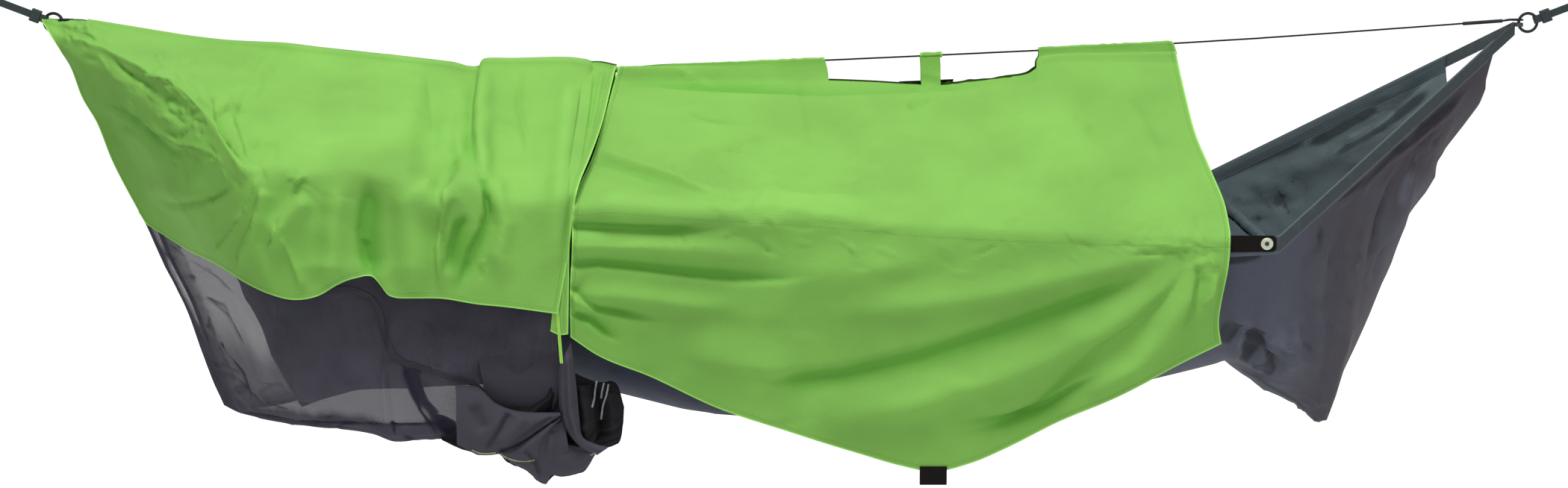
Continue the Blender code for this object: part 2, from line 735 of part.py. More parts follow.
def make_poles(pole_finish, cap_finish):
    shoulder = pole_shoulder()
    tip = side_strap_face() + WEBBING_THICKNESS + 2 * TOUCH + GROMMET_FLANGE + TIP_STANDOUT
    join = shoulder - CAP_LENGTH
    for end in ("left", "right"):
        x, z = POLE_X[end], POLE_Z[end]
        half = join - 0.0003
        pole = [(0, -half), (POLE_RADIUS, -half), (POLE_RADIUS, half), (0, half)]
        turned(end + "_spreader_pole", pole, (x, 0, z), 1, pole_finish)
        cap = [
            (0, join),
            (CAP_RADIUS - 0.0006, join),
            (CAP_RADIUS, join + 0.0008),
            (CAP_RADIUS, shoulder - 0.0010),
            (CAP_RADIUS - 0.0010, shoulder),
            (POLE_TIP_RADIUS, shoulder),
            (POLE_TIP_RADIUS, tip - 0.0018),
            (POLE_TIP_RADIUS * 0.6, tip - 0.0004),
            (0, tip),
        ]
        for name, side in (("front", -1), ("rear", 1)):
            turned(f"{end}_pole_cap_{name}", cap, (x, 0, z), side, cap_finish)


def clear_of_bed(x, y, z):
    """Keeps a hanging sheet outside the bed and its webbing, further out round the left end's bag."""
    margin = SKIRT_CLEARANCE + BAG_CLEARANCE * step_up((-0.98 - x) / 0.10)
    return max(y, bed_width_at(x, z) + margin)


def fly_edge_height(x):
    """The fly's fold over the bed edge. It rises over the black side strap at the right."""
    return edge_height(x) + FLY_EDGE_RISE + FLY_STRAP_RISE * step_up((x - 0.66) / 0.08)


def fly_columns():
    """The columns of the fly's grid as shares of its length, with one on each side of each window."""
    first, second = FLY_WINDOWS
    stations = (FLY_LEFT, first[0], first[1], second[0], second[1], FLY_RIGHT)
    xs = [FLY_LEFT]
    for start, end, pieces in zip(stations, stations[1:], (4, 3, 1, 3, 3)):
        xs += [start + (end - start) * (i + 1) / pieces for i in range(pieces)]
    return [(x - FLY_LEFT) / (FLY_RIGHT - FLY_LEFT) for x in xs]


def fly_point(share, v):
    """A point of a fly panel, y outwards. v runs 0 to 1 to the bed edge and 1 to 2 to the hem."""
    left = table(((0, FLY_LEFT), (1, -0.400), (2, FLY_HEM_LEFT)))(v)
    right_edge = ((0, FLY_RIGHT), (0.5, 0.747), (0.75, 0.782), (1, 0.797), (1.3, 0.785), (2, FLY_HEM_RIGHT))
    right = table(right_edge)(v)
    x = left + (right - left) * share
    start = SLEEVE_RADIUS + 0.0006
    y_top, z_top = start * 0.87, ridge_height(x) - start * 0.5
    y_edge, z_edge = edge_width(x) + PANEL_STANDOFF, fly_edge_height(x)
    if v <= 1:
        sag = FLY_SAG * math.sin(math.pi * v)
        crease = FLY_CREASE * math.sin(math.pi * v) ** 2 * math.sin(9 * share + 5 * v)
        return x, y_top + (y_edge - y_top) * v, z_top + (z_edge - z_top) * v - sag + crease
    u = v - 1
    z = z_edge + (fly_hem_height(x) - z_edge) * u
    fan = math.atan2(z_edge - z, FLY_SWAG_CENTRE - x)
    swag = FLY_SWAG * math.sin(math.pi * u) * (0.5 - 0.5 * math.cos(15 * fan))
    return x, clear_of_bed(x, y_edge - 0.004 * u + swag, z), z


def fly_rows(share):
    """Rows down the fly. The first is the windows' lower edge, which rises at the far right."""
    x = FLY_LEFT + (FLY_RIGHT - FLY_LEFT) * share
    window = table(((0.067, 0.145), (0.36, 0.150), (0.43, 0.125), (0.485, 0.070)))(x)
    return [0, window, 0.27, 0.42, 0.57, 0.72, 0.86, 0.96, 1.0, 1.10, 1.25, 1.42, 1.60, 1.80, 2.0]


def fly_grid(side):
    shares = fly_columns()
    columns = []
    for share in shares:
        points = [fly_point(share, v) for v in fly_rows(share)]
        columns.append([(x, side * y, z) for x, y, z in points])
    return np.array(columns)


def make_fly(green, black, webbing):
    shares = fly_columns()
    xs = [FLY_LEFT + (FLY_RIGHT - FLY_LEFT) * s for s in shares]
    open_cells = set()
    for start, end in FLY_WINDOWS:
        for i in range(len(xs) - 1):
            if start - 1e-6 <= xs[i] and xs[i + 1] <= end + 1e-6:
                open_cells.add((i, 0))
    for name, side in (("fly_front", -1), ("fly_rear", 1)):
        grid = fly_grid(side)
        cells = open_cells
        if side > 0:
            grid = grid[::-1]
            cells = {(len(xs) - 2 - i, j) for i, j in open_cells}
        face_outwards(cloth(name, grid, PANEL_THICKNESS, green, cells))
        make_fly_tab(name + "_tab", side, webbing)
    spans = (
        ("fly_sleeve_left", FLY_LEFT + 0.004, FLY_WINDOWS[0][0]),
        ("fly_sleeve_tab", FLY_WINDOWS[0][1], FLY_WINDOWS[1][0]),
        ("fly_sleeve_right", FLY_WINDOWS[1][1], FLY_RIGHT),
    )
    for name, start, end in spans:
        make_sleeve(name, start, end, green)
    make_vent_patch(black)


def make_sleeve(name, start, end, finish):
    inner = CORD_RADIUS + 0.0006
    hollow_tube(name, ridge_path(start, end), (inner, inner), (SLEEVE_RADIUS, SLEEVE_RADIUS), finish, sides=8)


def make_vent_patch(finish):
    """The hook-and-loop patch on the rear panel's inner face, under the windows, behind the centre tab."""
    middle = (FLY_WINDOWS[0][1] + FLY_WINDOWS[1][0]) / 2
    rows = []
    for v in (0.165, 0.205):
        row = []
        for i in range(5):
            x = middle + PATCH_WIDTH * (i / 4 - 0.5)
            px, py, pz = fly_point((x - FLY_LEFT) / (FLY_RIGHT - FLY_LEFT), v)
            row.append((px, py - PANEL_THICKNESS / 2, pz - PATCH_DROP))
        rows.append(row)
    face_outwards(cloth("fly_vent_patch", np.array(rows), PATCH_THICKNESS, finish))


def make_fly_tab(name, side, finish):
    """Webbing folded round the hem at its lowest point, with a loop below it."""
    x = FLY_HEM[6][0]
    _, y, _ = fly_point((x - FLY_HEM_LEFT) / (FLY_HEM_RIGHT - FLY_HEM_LEFT), 2.0)
    z = fly_hem_height(x)
    leg = PANEL_THICKNESS / 2 + TAB_GAP + TAB_THICKNESS / 2
    path = [(y + leg, z + TAB_LAP), (y + leg, z - TAB_DROP + leg), (y + leg * 0.7, z - TAB_DROP + leg * 0.3)]
    path += [(y, z - TAB_DROP)]
    path += [(2 * y - a, b) for a, b in reversed(path[:-1])]
    path = [(x, side * a, b) for a, b in path]
    along = tangents(path)
    band(name, path, np.cross(along, (1, 0, 0)), TAB_WIDTH, TAB_THICKNESS, finish)


def cover_line(share):
    """Four points down the cover at a share of its length: ridge, bed edge, green hem and net hem."""
    x = COVER_LEFT + (FLY_LEFT - COVER_FLY_GAP - COVER_LEFT) * share
    start = SLEEVE_RADIUS + 0.0022
    ridge = (x, start * 0.95, ridge_height(x) - start * 0.3)
    x = COVER_EDGE_LEFT + (COVER_EDGE_RIGHT - COVER_EDGE_LEFT) * share
    over_tip = step_up(1 - abs(x - POLE_X["left"]) / 0.14)
    over_strap = COVER_STRAP_RELIEF * step_up(1 - abs(x - POLE_X["left"] - 0.03) / 0.12)
    standoff = PANEL_STANDOFF * (1.28 if x < BED_EDGE[1][0] else 1.0) + COVER_TIP_RELIEF * over_tip
    edge = (x, edge_width(x) + standoff, edge_height(x) + 0.008 + over_strap)
    x = COVER_HEM[0][0] + (COVER_HEM[-1][0] - COVER_HEM[0][0]) * share
    y = TIP_HALF_WIDTH + BED_HALF_WIDTH * step_up(share / 0.36)
    hem = (x, clear_of_bed(x, y, cover_hem_height(x)), cover_hem_height(x))
    x = NET_HEM[0][0] + (NET_HEM[-1][0] - NET_HEM[0][0]) * share
    y = TIP_HALF_WIDTH + (BED_HALF_WIDTH - NET_TUCK) * step_up(share / 0.42)
    low = (x, clear_of_bed(x, y, net_hem_height(x)), net_hem_height(x))
    return ridge, edge, hem, low


def cover_pleat(share, v):
    """The folds of the cover: soft ones along it, and the deep ones of the bundle at its right end."""
    soft = COVER_RIPPLE * math.sin(math.pi * min(v, 1.0)) * math.sin(17 * share)
    hang = step_up((v - 0.9) / 0.5)
    wave = COVER_WAVE * hang * step_up((share - 0.25) / 0.2) * (0.5 - 0.5 * math.cos(46 * share))
    bundle = step_up((share - BUNDLE_START) / 0.06) * step_up(v / 0.15) * step_up((1.0 - share) / 0.04)
    bundle *= BUNDLE_HEIGHT * (0.5 - 0.5 * math.cos(80 * (share - BUNDLE_START)))
    return soft, wave + bundle


def cover_point(share, v):
    """v runs 0 to 1 to the bed edge, 1 to 2 to the green hem and 2 to 3 to the net's hem."""
    stations = [Vector(p) for p in cover_line(share)]
    part = min(int(v), 2)
    t = v - part
    p = stations[part].lerp(stations[part + 1], t)
    soft, wave = cover_pleat(share, v)
    if v < 1:
        p.z += (0.6 * soft - COVER_SAG * math.sin(math.pi * v)) * step_up(share / 0.3)
        p.z += 0.4 * wave * math.sin(math.pi * v)
        return p.x, p.y + 0.3 * wave * v, p.z
    fade = 1.0 if v < 2 else 1 - 0.5 * (v - 2)
    return p.x, clear_of_bed(p.x, p.y, p.z) + wave * fade, p.z


# The share of the cover's length where the bed's edge turns from its straight end to its middle.
COVER_KINK = (BED_EDGE[1][0] - COVER_EDGE_LEFT) / (COVER_EDGE_RIGHT - COVER_EDGE_LEFT)
COVER_STEPS = [0, 0.05, 0.11, 0.18, 0.25, 0.31, 0.37, 0.45, 0.49, 0.53, 0.58, 0.63, 0.68]
COVER_STEPS += [0.72, 0.76, 0.80, 0.84, 0.88, 0.92, 0.96, 1.0]
COVER_SHARES = sorted([s for s in COVER_STEPS if abs(s - COVER_KINK) > 0.012] + [COVER_KINK])
COVER_ROWS = [0, 0.10, 0.24, 0.40, 0.56, 0.72, 0.86, 0.95, 1.0, 1.07, 1.15, 1.32, 1.55, 1.78, 2.0]
NET_ROWS = [2.004, 2.2, 2.4, 2.6, 2.8, 3.0]


def make_cover(green, net, netting):
    for name, side in (("front", -1), ("rear", 1)):
        for piece, rows, finish, thickness in (
            ("cover_", COVER_ROWS, green, PANEL_THICKNESS),
            ("net_", NET_ROWS, net, NET_THICKNESS),
        ):
            columns = []
            for share in COVER_SHARES:
                points = [cover_point(share, v) for v in rows]
                columns.append([(x, side * y, z) for x, y, z in points])
            grid = np.array(columns)
            face_outwards(cloth(piece + name, grid if side < 0 else grid[::-1], thickness, finish))
        make_bunch("net_bunch_" + name, side, netting)
    make_sleeve("cover_sleeve", CORD_SETTLE + 0.004 - CORD_END, FLY_LEFT - COVER_FLY_GAP, green)


def make_bunch(name, side, finish):
    """The net's gathered end, a pleated lump under the net's hem."""
    around = 20
    centres, sections = [], []
    for i, (x, top, low, half) in enumerate(BUNCH):
        centres.append((x, side * BUNCH_Y, (top + low) / 2))
        ring = []
        for j in range(around):
            a = 2 * math.pi * j / around
            pleat = 1 - BUNCH_PLEAT / 0.03 * (0.5 - 0.5 * math.cos(5 * a + 0.9 * i)) * math.sin(a / 2) ** 2
            out, up = -math.sin(a) * pleat, math.cos(a) * pleat
            ring.append((0, side * half * out, (top - low) / 2 * up))
        sections.append(ring)
    sweep(name, centres, sections, finish)


def clear_scene():
    for obj in list(bpy.data.objects):
        bpy.data.objects.remove(obj, do_unlink=True)


def main():
    clear_scene()
    green = material("green_fly_fabric", "86BE57", 0.6)
    slate = material("slate_bed_fabric", "4B4E57", 0.75)
    net = material("black_net", "4A484C", 0.8, alpha=0.6)
    netting = material("gathered_net", "45434A", 0.8)
    webbing = material("slate_webbing", "454B52", 0.8)
    black = material("black_webbing", "17140F", 0.85)
    metal = material("cream_grommet", "C5CBB5", 0.35, 0.4)
    steel = material("dark_steel_ring", "2B2D30", 0.35, 1.0)
    cord = material("dark_cord", "23272B", 0.7)
    pole = material("aluminium_pole", "B9BCC0", 0.35, 1.0)
    cap = material("black_pole_cap", "1A1A1C", 0.5)

    cutters = [
        hidden_cutter(end + "_pole_cutter", GROMMET_BARREL + HOLE_CLEARANCE, POLE_X[end], POLE_Z[end])
        for end in ("left", "right")
    ]
    make_rings(steel)
    make_hanging_straps(webbing, webbing)
    make_ridge_cord(cord, webbing)
    make_end_loops(webbing)
    make_bed(slate, cutters)
    make_edge_webbings(webbing, cutters)
    make_side_straps(black, metal, cutters)
    make_poles(pole, cap)
    make_fly(green, black, black)
    make_cover(green, net, netting)


main()
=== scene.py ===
"""The looks of a covered camping hammock: sheets of cloth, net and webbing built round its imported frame.

Metres, +Z up, +X along the ridge cord, -Y towards the camera.
"""

import math

import bpy
import numpy as np
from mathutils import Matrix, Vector


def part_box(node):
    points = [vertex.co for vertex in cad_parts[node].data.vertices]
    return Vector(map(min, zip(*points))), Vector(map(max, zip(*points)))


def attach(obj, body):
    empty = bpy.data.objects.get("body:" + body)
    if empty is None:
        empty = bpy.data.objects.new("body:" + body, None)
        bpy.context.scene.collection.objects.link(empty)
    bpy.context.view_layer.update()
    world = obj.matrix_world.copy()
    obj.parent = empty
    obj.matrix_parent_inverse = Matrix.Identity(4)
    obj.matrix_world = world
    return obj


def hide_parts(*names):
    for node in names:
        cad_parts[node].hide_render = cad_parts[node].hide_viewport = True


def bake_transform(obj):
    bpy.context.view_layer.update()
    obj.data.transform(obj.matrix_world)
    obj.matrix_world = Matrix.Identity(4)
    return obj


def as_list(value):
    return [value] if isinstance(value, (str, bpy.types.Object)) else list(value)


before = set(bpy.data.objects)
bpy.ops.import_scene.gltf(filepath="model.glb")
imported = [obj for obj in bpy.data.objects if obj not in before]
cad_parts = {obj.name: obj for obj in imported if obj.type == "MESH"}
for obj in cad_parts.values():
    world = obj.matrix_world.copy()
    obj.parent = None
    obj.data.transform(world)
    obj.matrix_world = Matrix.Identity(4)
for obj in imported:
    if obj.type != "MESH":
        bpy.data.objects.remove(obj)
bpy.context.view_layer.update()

# The camera that took the photo: 2100 by 654 pixels, looking down a little at the ridge's middle.
PHOTO = (2100, 654)
CAMERA = (-0.013, -5.5, 0.415)
PITCH = math.atan(0.1553)
FOCAL = 3761.0
SENSOR = 36.0

# Each light is a disk: its name, its place, the point it faces, its width and its watts.
LIGHTS = (
    ("overhead", (-0.6, -1.5, 4.2), (0, -0.1, -0.3), 2.0, 166),
    ("front", (1.2, -5.0, 1.6), (0, 0, -0.4), 3.0, 40),
)
WHITE = (1, 1, 1, 1)
WORLD_LEVEL = 0.36
FLOOR_Z = -1.5
FLOOR_SIZE = 80
FLOOR_COLOUR = (0.86, 0.86, 0.86, 1)
FLOOR_ROUGHNESS = 0.9
FLOOR_GLOW = 0.72


def seen(pixels, y):
    """The points at depth y that the photo shows at pixels."""
    across, down = (pixels[..., 0] - PHOTO[0] / 2) / FOCAL, (pixels[..., 1] - PHOTO[1] / 2) / FOCAL
    c, s = math.cos(PITCH), math.sin(PITCH)
    reach = (y - CAMERA[1]) / (c - down * s)
    return np.stack([CAMERA[0] + across * reach, y + 0 * reach, CAMERA[2] - reach * (s + down * c)], axis=-1)


def on_photo(points):
    """The pixels at which the photo shows points."""
    d = points - CAMERA
    c, s = math.cos(PITCH), math.sin(PITCH)
    depth = d[..., 1] * c - d[..., 2] * s
    down = -d[..., 1] * s - d[..., 2] * c
    return np.stack([PHOTO[0] / 2 + FOCAL * d[..., 0] / depth, PHOTO[1] / 2 + FOCAL * down / depth], axis=-1)


def make_camera():
    data = bpy.data.cameras.new("camera")
    data.sensor_width = SENSOR
    data.lens = FOCAL / PHOTO[0] * SENSOR
    camera = bpy.data.objects.new("camera", data)
    camera.location = CAMERA
    camera.rotation_euler = (math.pi / 2 - PITCH, 0, 0)
    bpy.context.scene.collection.objects.link(camera)
    bpy.context.scene.camera = camera


def make_light(name, place, target, size, watts):
    data = bpy.data.lights.new(name, "AREA")
    data.shape = "DISK"
    data.size = size
    data.energy = watts
    light = bpy.data.objects.new(name, data)
    light.location = place
    light.rotation_euler = (Vector(target) - Vector(place)).to_track_quat("-Z", "Y").to_euler()
    bpy.context.scene.collection.objects.link(light)


def seen_or_mirrored(tree):
    """1 on what the camera sees straight, in a mirror or through a clear thing."""
    path = tree.nodes.new("ShaderNodeLightPath")
    total = path.outputs["Is Camera Ray"]
    for kind in ("Is Glossy Ray", "Is Transmission Ray"):
        join = tree.nodes.new("ShaderNodeMath")
        join.operation = "MAXIMUM"
        tree.links.new(total, join.inputs[0])
        tree.links.new(path.outputs[kind], join.inputs[1])
        total = join.outputs[0]
    return total


def make_stage():
    """A plain pale floor and a plain pale world, which the camera sees as white."""
    world = bpy.data.worlds.new("studio")
    world.use_nodes = True
    tree = world.node_tree
    back = tree.nodes["Background"]
    back.inputs["Color"].default_value = WHITE
    level = tree.nodes.new("ShaderNodeMapRange")
    level.inputs["To Min"].default_value = WORLD_LEVEL
    level.inputs["To Max"].default_value = 1.0
    tree.links.new(seen_or_mirrored(tree), level.inputs["Value"])
    tree.links.new(level.outputs["Result"], back.inputs["Strength"])
    bpy.context.scene.world = world
    bpy.ops.mesh.primitive_plane_add(size=FLOOR_SIZE, location=(0, 0, FLOOR_Z))
    floor = bpy.context.object
    floor.name = "floor"
    finish = Finish("floor", FLOOR_COLOUR, FLOOR_ROUGHNESS)
    finish.feed(finish.shader, "Emission Color", WHITE)
    glow = finish.maths("MULTIPLY", seen_or_mirrored(finish.tree), FLOOR_GLOW)
    finish.feed(finish.shader, "Emission Strength", glow)
    floor.data.materials.append(finish.done())


# The hammock's own sizes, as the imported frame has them: (x, z) lines in the plane of the ridge.
RING_X = 1.4434
BED_HALF_WIDTH = 0.45
CORD_END = RING_X - 0.0484
BRIDLE_END = RING_X - 0.0282
POLE_LEFT = (-0.967, -0.244)
POLE_RIGHT = (0.865, -0.368)
RIDGE_RUN = (
    (-CORD_END, 0.0035), (-1.1310, -0.0399), (-0.6124, -0.0936), (-0.4712, -0.0986), (-0.3809, -0.0944),
    (0.7557, -0.0407), (CORD_END, 0.0035),
)
# The bed's upper edge as (x, share of the half width, z).
BED_EDGE = (
    (-BRIDLE_END, 0.006, 0.0010),
    (POLE_LEFT[0] - 0.023, 1.000, POLE_LEFT[1] + 0.0125),
    (POLE_LEFT[0] + 0.101, 1.000, POLE_LEFT[1] + 0.0010),
    (-0.505, 0.978, -0.2934),
    (-0.208, 0.967, -0.3194),
    (0.152, 0.960, -0.3393),
    (0.506, 0.973, -0.3567),
    (POLE_RIGHT[0] - 0.115, 1.000, POLE_RIGHT[1] + 0.0040),
    (POLE_RIGHT[0] + 0.023, 1.000, POLE_RIGHT[1] + 0.0125),
    (BRIDLE_END, 0.006, 0.0010),
)
BED_FLOOR = (
    (-1.3646, -0.1303), (-1.0992, -0.5108), (-1.0391, -0.6108), (-1.0163, -0.7041), (-0.9791, -0.7624),
    (-0.8548, -0.7260), (-0.4383, -0.7031), (-0.1481, -0.7728), (0.1022, -0.7916), (0.5103, -0.7499),
    (0.7823, -0.6792), (0.9180, -0.7260), (1.0525, -0.7937), (1.1045, -0.6543), (1.1873, -0.4165),
    (1.2411, -0.3328), (1.3576, -0.1042),
)
BED_ROUNDNESS = 0.9
# The band along the bed's edge, and how far its webbing stands out from the cloth.
RIM_DEPTH = 0.05
RIM_OUT = 0.004


def table(points, column=1):
    xs, values = [p[0] for p in points], [p[column] for p in points]
    return lambda x: np.interp(x, xs, values)


ridge_height = table(RIDGE_RUN)
edge_share = table(BED_EDGE)
edge_height = table(BED_EDGE, 2)
floor_height = table(BED_FLOOR)


def rise(value, start, end):
    """0 on one side of the start, 1 on the other side of the end, and a soft rise between them."""
    t = np.clip((value - start) / (end - start), 0, 1)
    return t * t * (3 - 2 * t)


def bed_width_at(x, z):
    """The bed's half width at a height, and nothing beyond its ends or under its floor."""
    top, low = edge_height(x), floor_height(x)
    wide = BED_HALF_WIDTH * edge_share(x)
    sine = np.clip((top - z) / np.maximum(top - low, 1e-6), 0, 1) ** (1 / BED_ROUNDNESS)
    inside = (x > BED_FLOOR[0][0]) & (x < BED_FLOOR[-1][0]) & (z >= low) & (z <= top)
    width = np.where(inside, wide * np.sqrt(1 - sine * sine), 0.0)
    return np.where((z < top) & (z > top - RIM_DEPTH), wide + RIM_OUT, width)


# How much of its slope a smooth line keeps at a turning point.
TURN_SLOPE = 0.35
# The cloths' grids have a point every so many pixels of the photo, and the finer net has more.
GRID_STEP = 3.0
NET_STEP = 2.5


def track(knots, at):
    """A smooth line through knots of (share, value, value), read at shares."""
    knots = np.array(knots, float)
    s, values = knots[:, 0], knots[:, 1:]
    steps = np.diff(values, axis=0) / np.diff(s)[:, None]
    slopes = np.vstack([steps[:1], (steps[:-1] + steps[1:]) / 2, steps[-1:]])
    straight = np.ones_like(slopes)
    straight[1:-1] = steps[:-1] * steps[1:] > 0
    slopes = slopes * (TURN_SLOPE + (1 - TURN_SLOPE) * straight)
    at = np.asarray(at, float)
    i = np.clip(np.searchsorted(s, at, side="right") - 1, 0, len(s) - 2)
    gap = (s[i + 1] - s[i])[..., None]
    t = (at - s[i])[..., None] / gap
    h = values[i] * (1 + 2 * t) * (1 - t) ** 2 + slopes[i] * gap * t * (1 - t) ** 2
    return h + values[i + 1] * t * t * (3 - 2 * t) + slopes[i + 1] * gap * t * t * (t - 1)


def patchwork(curves, columns, rows, left=None, right=None, reach=4.0):
    """A grid of pixels between curves of (share, px, py) that run across it, one at each whole row number.

    left and right are tracks of (row, px, py) that the grid's sides follow; the pull fades inwards.
    """
    s, t = np.meshgrid(columns, rows)
    lines = np.array([track(c, columns) for c in curves])
    part = np.clip(t.astype(int), 0, len(curves) - 2)
    f = (t - part)[..., None]
    index = np.broadcast_to(np.arange(len(columns)), t.shape)
    grid = lines[part, index] * (1 - f) + lines[part + 1, index] * f
    for side, edge, fade in ((left, 0, (1 - s) ** reach), (right, -1, s**reach)):
        if side:
            pull = track(side, rows) - grid[:, edge]
            grid = grid + pull[:, None, :] * fade[..., None]
    return grid, s, t


def spread(points, shares, at):
    """Gives a line of pixels its shares, which are known at some places across the photo."""
    return [(np.interp(x, at, shares), x, y) for x, y in points]


def stepped(stations, counts):
    """Shares from the first station to the last, with a number of even steps between two stations."""
    shares = [stations[0]]
    for low, high, count in zip(stations, stations[1:], counts):
        shares += [low + (high - low) * (k + 1) / count for k in range(count)]
    return np.array(shares)


def laid_out(lines, stations, across, down, left, right, step=GRID_STEP):
    """The columns, rows and pixels of a sheet drawn over the photo, with each pixel's share and row.

    Each line comes with the places across the photo where it passes the stations. across says where the
    sheet's middle does, and down how many pixels lie between two lines.
    """
    columns = stepped(stations, [max(1, round(abs(b - a) / step)) for a, b in zip(across, across[1:])])
    rows = stepped(range(len(lines)), [round(height / step) for height in down])
    curves = [spread(points, stations, at) for points, at in lines]
    return columns, rows, *patchwork(curves, columns, rows, left, right)


# How high each kind of fold stands across its line, at u widths from it.
PROFILES = {
    "ridge": lambda u: np.exp(-u * u),
    "sharp": lambda u: np.where(u > 0, np.exp(-((u / 0.35) ** 2)), np.exp(-np.abs(u) * 1.1)),
    "crease": lambda u: np.exp(-np.abs(u) * 1.6),
    "step": lambda u: np.exp(-np.maximum(u, 0) * 0.55) / (1 + np.exp(-np.clip(u * 5, -40, 40))),
}
# A fold is felt as far as this many widths from its line.
STROKE_REACH = 4
LEAST_TAPER = 1e-3
# The kinds that a crinkle can be, the steps it bends in, its taper, and the ranges of its size, as shares of
# the length and height that are asked for and as a width in pixels.
CRINKLE_KINDS = ("crease", "sharp", "ridge")
CRINKLE_STEPS = 3
CRINKLE_BEND = 0.25
CRINKLE_TAPER = (0.4, 0.4)
CRINKLE_LENGTHS = (0.4, 1.3)
CRINKLE_HEIGHTS = (0.4, 1.2)
CRINKLE_WIDTHS = (2.0, 5.0)


def stroke_field(pixels, stroke):
    """How high a fold stands at each pixel. A stroke is (kind, height, width, taper, points)."""
    kind, height, width, taper, points = stroke
    flat = pixels.reshape(-1, 2)
    points = np.array(points, float)
    run = np.diff(points, axis=0)
    length = np.hypot(*run.T)
    before = np.cumsum(length) - length
    low, high = points.min(axis=0) - STROKE_REACH * width, points.max(axis=0) + STROKE_REACH * width
    near = np.flatnonzero(((flat > low) & (flat < high)).all(axis=1))
    best = np.full(len(near), np.inf)
    side, along = np.zeros(len(near)), np.zeros(len(near))
    for start, step, size, done in zip(points, run, length, before):
        d = flat[near] - start
        t = np.clip(d @ step / size**2, 0, 1)
        distance = np.hypot(*(d - t[:, None] * step).T)
        better = distance < best
        best = np.where(better, distance, best)
        side = np.where(better, np.sign(step[0] * d[:, 1] - step[1] * d[:, 0]), side)
        along = np.where(better, done + t * size, along)
    share = along / length.sum()
    fade = rise(share, 0, max(taper[0], LEAST_TAPER)) * rise(share, 1, 1 - max(taper[1], LEAST_TAPER))
    field = np.zeros(len(flat))
    field[near] = height * fade * PROFILES[kind](best * side / width)
    return field.reshape(pixels.shape[:-1])


def folds_on(pixels, strokes):
    return sum(stroke_field(pixels, stroke) for stroke in strokes)


def varied(strokes, height, width=1.0, shift=0.0):
    """The same strokes made higher and wider, and moved along the photo."""
    return [(kind, h * height, w * width, taper, [(x + shift, y) for x, y in points])
            for kind, h, w, taper, points in strokes]


def crinkles(pixels, seed, count, height, length, turn, spots):
    """Small sharp crinkles: spots are (px, py, radius, direction in degrees, share)."""
    rng = np.random.default_rng(seed)
    weights = np.array([s[4] for s in spots], float)
    strokes = []
    for _ in range(count):
        cx, cy, radius, way, _ = spots[rng.choice(len(spots), p=weights / weights.sum())]
        x, y = rng.normal((cx, cy), radius / 2)
        angle = math.radians(way + rng.normal(0, turn))
        step = length * rng.uniform(*CRINKLE_LENGTHS) / CRINKLE_STEPS
        bend = rng.normal(0, CRINKLE_BEND)
        points = [(x, y)]
        for _ in range(CRINKLE_STEPS):
            x, y = x + math.cos(angle) * step, y + math.sin(angle) * step
            angle += bend
            points.append((x, y))
        kind = CRINKLE_KINDS[rng.integers(3)]
        rise = height * rng.uniform(*CRINKLE_HEIGHTS) * rng.choice((-1, 1))
        strokes.append((kind, rise, rng.uniform(*CRINKLE_WIDTHS), CRINKLE_TAPER, points))
    return folds_on(pixels, strokes)


# The front of each sheet is drawn, and the rear is its mirror image: what its points are multiplied by.
TURNS = {"front": (1, 1, 1), "rear": (1, -1, 1)}


def on_both_sides(pixels, seed, crinkle, strokes, sides):
    """For the front and then the rear: its name, its turn, its crinkles and its strokes."""
    for number, (end, *change) in enumerate(sides):
        yield end, TURNS[end], crinkles(pixels, seed + number, **crinkle), varied(strokes, *change)


def unit(vectors):
    return vectors / np.maximum(np.linalg.norm(vectors, axis=-1, keepdims=True), 1e-12)


def normals_of(grid):
    return unit(np.cross(np.gradient(grid, axis=1), np.gradient(grid, axis=0)))


def blurred(field, passes):
    """A field of values on a grid, averaged with its neighbours a number of times."""
    for _ in range(passes):
        padded = np.pad(field, ((1, 1), (1, 1)) + ((0, 0),) * (field.ndim - 2), mode="edge")
        sides = padded[:-2, 1:-1] + padded[2:, 1:-1] + padded[1:-1, :-2] + padded[1:-1, 2:]
        field = (2 * field + sides) / 6
    return field


# The depth that a sheet starts from, and the rounds in which it settles at its own.
FIRST_DEPTH = -0.2
DEPTH_ROUNDS = 6
# Folds stand up along rounded normals, which face the camera's side, or up where the cloth lies level.
NORMAL_ROUNDING = 14
LEVEL_SHARE = 0.3
FOLD_LIMIT = 0.045


def drape(pixels, depth, strokes, soft=0.0, calm=1.0, inward=FOLD_LIMIT, painted_shading=(), rounding=20):
    """Stands a grid of pixels up in space at its depths, then raises its folds along its own normals.

    depth is a function of x and z that gives how far out from the ridge's plane the cloth hangs, and inward
    how far in from there a fold may go. It gives the grid of points and the height of their folds, to which
    the painted shading adds strokes of painted shade and painted light, for hollows and rises too broad to
    show by themselves.
    """
    y = np.full(pixels.shape[:-1], FIRST_DEPTH)
    for _ in range(DEPTH_ROUNDS):
        spots = seen(pixels, y)
        y = -depth(spots[..., 0], spots[..., 2])
    grid = seen(pixels, blurred(y, rounding))
    fold = np.clip(folds_on(pixels, strokes) + soft, -inward, FOLD_LIMIT) * calm
    n = normals_of(grid)
    n = np.where((n[..., 2] * LEVEL_SHARE - n[..., 1])[..., None] < 0, -n, n)
    n = unit(blurred(n, NORMAL_ROUNDING))
    return grid + n * fold[..., None], fold + folds_on(pixels, painted_shading)


def run_along(points, axis):
    """The metres, or pixels, from the first row (axis 0) or column (axis 1) of points to each of them."""
    steps = np.linalg.norm(np.diff(points, axis=axis), axis=-1)
    return np.insert(np.cumsum(steps, axis=axis), 0, 0, axis=axis)


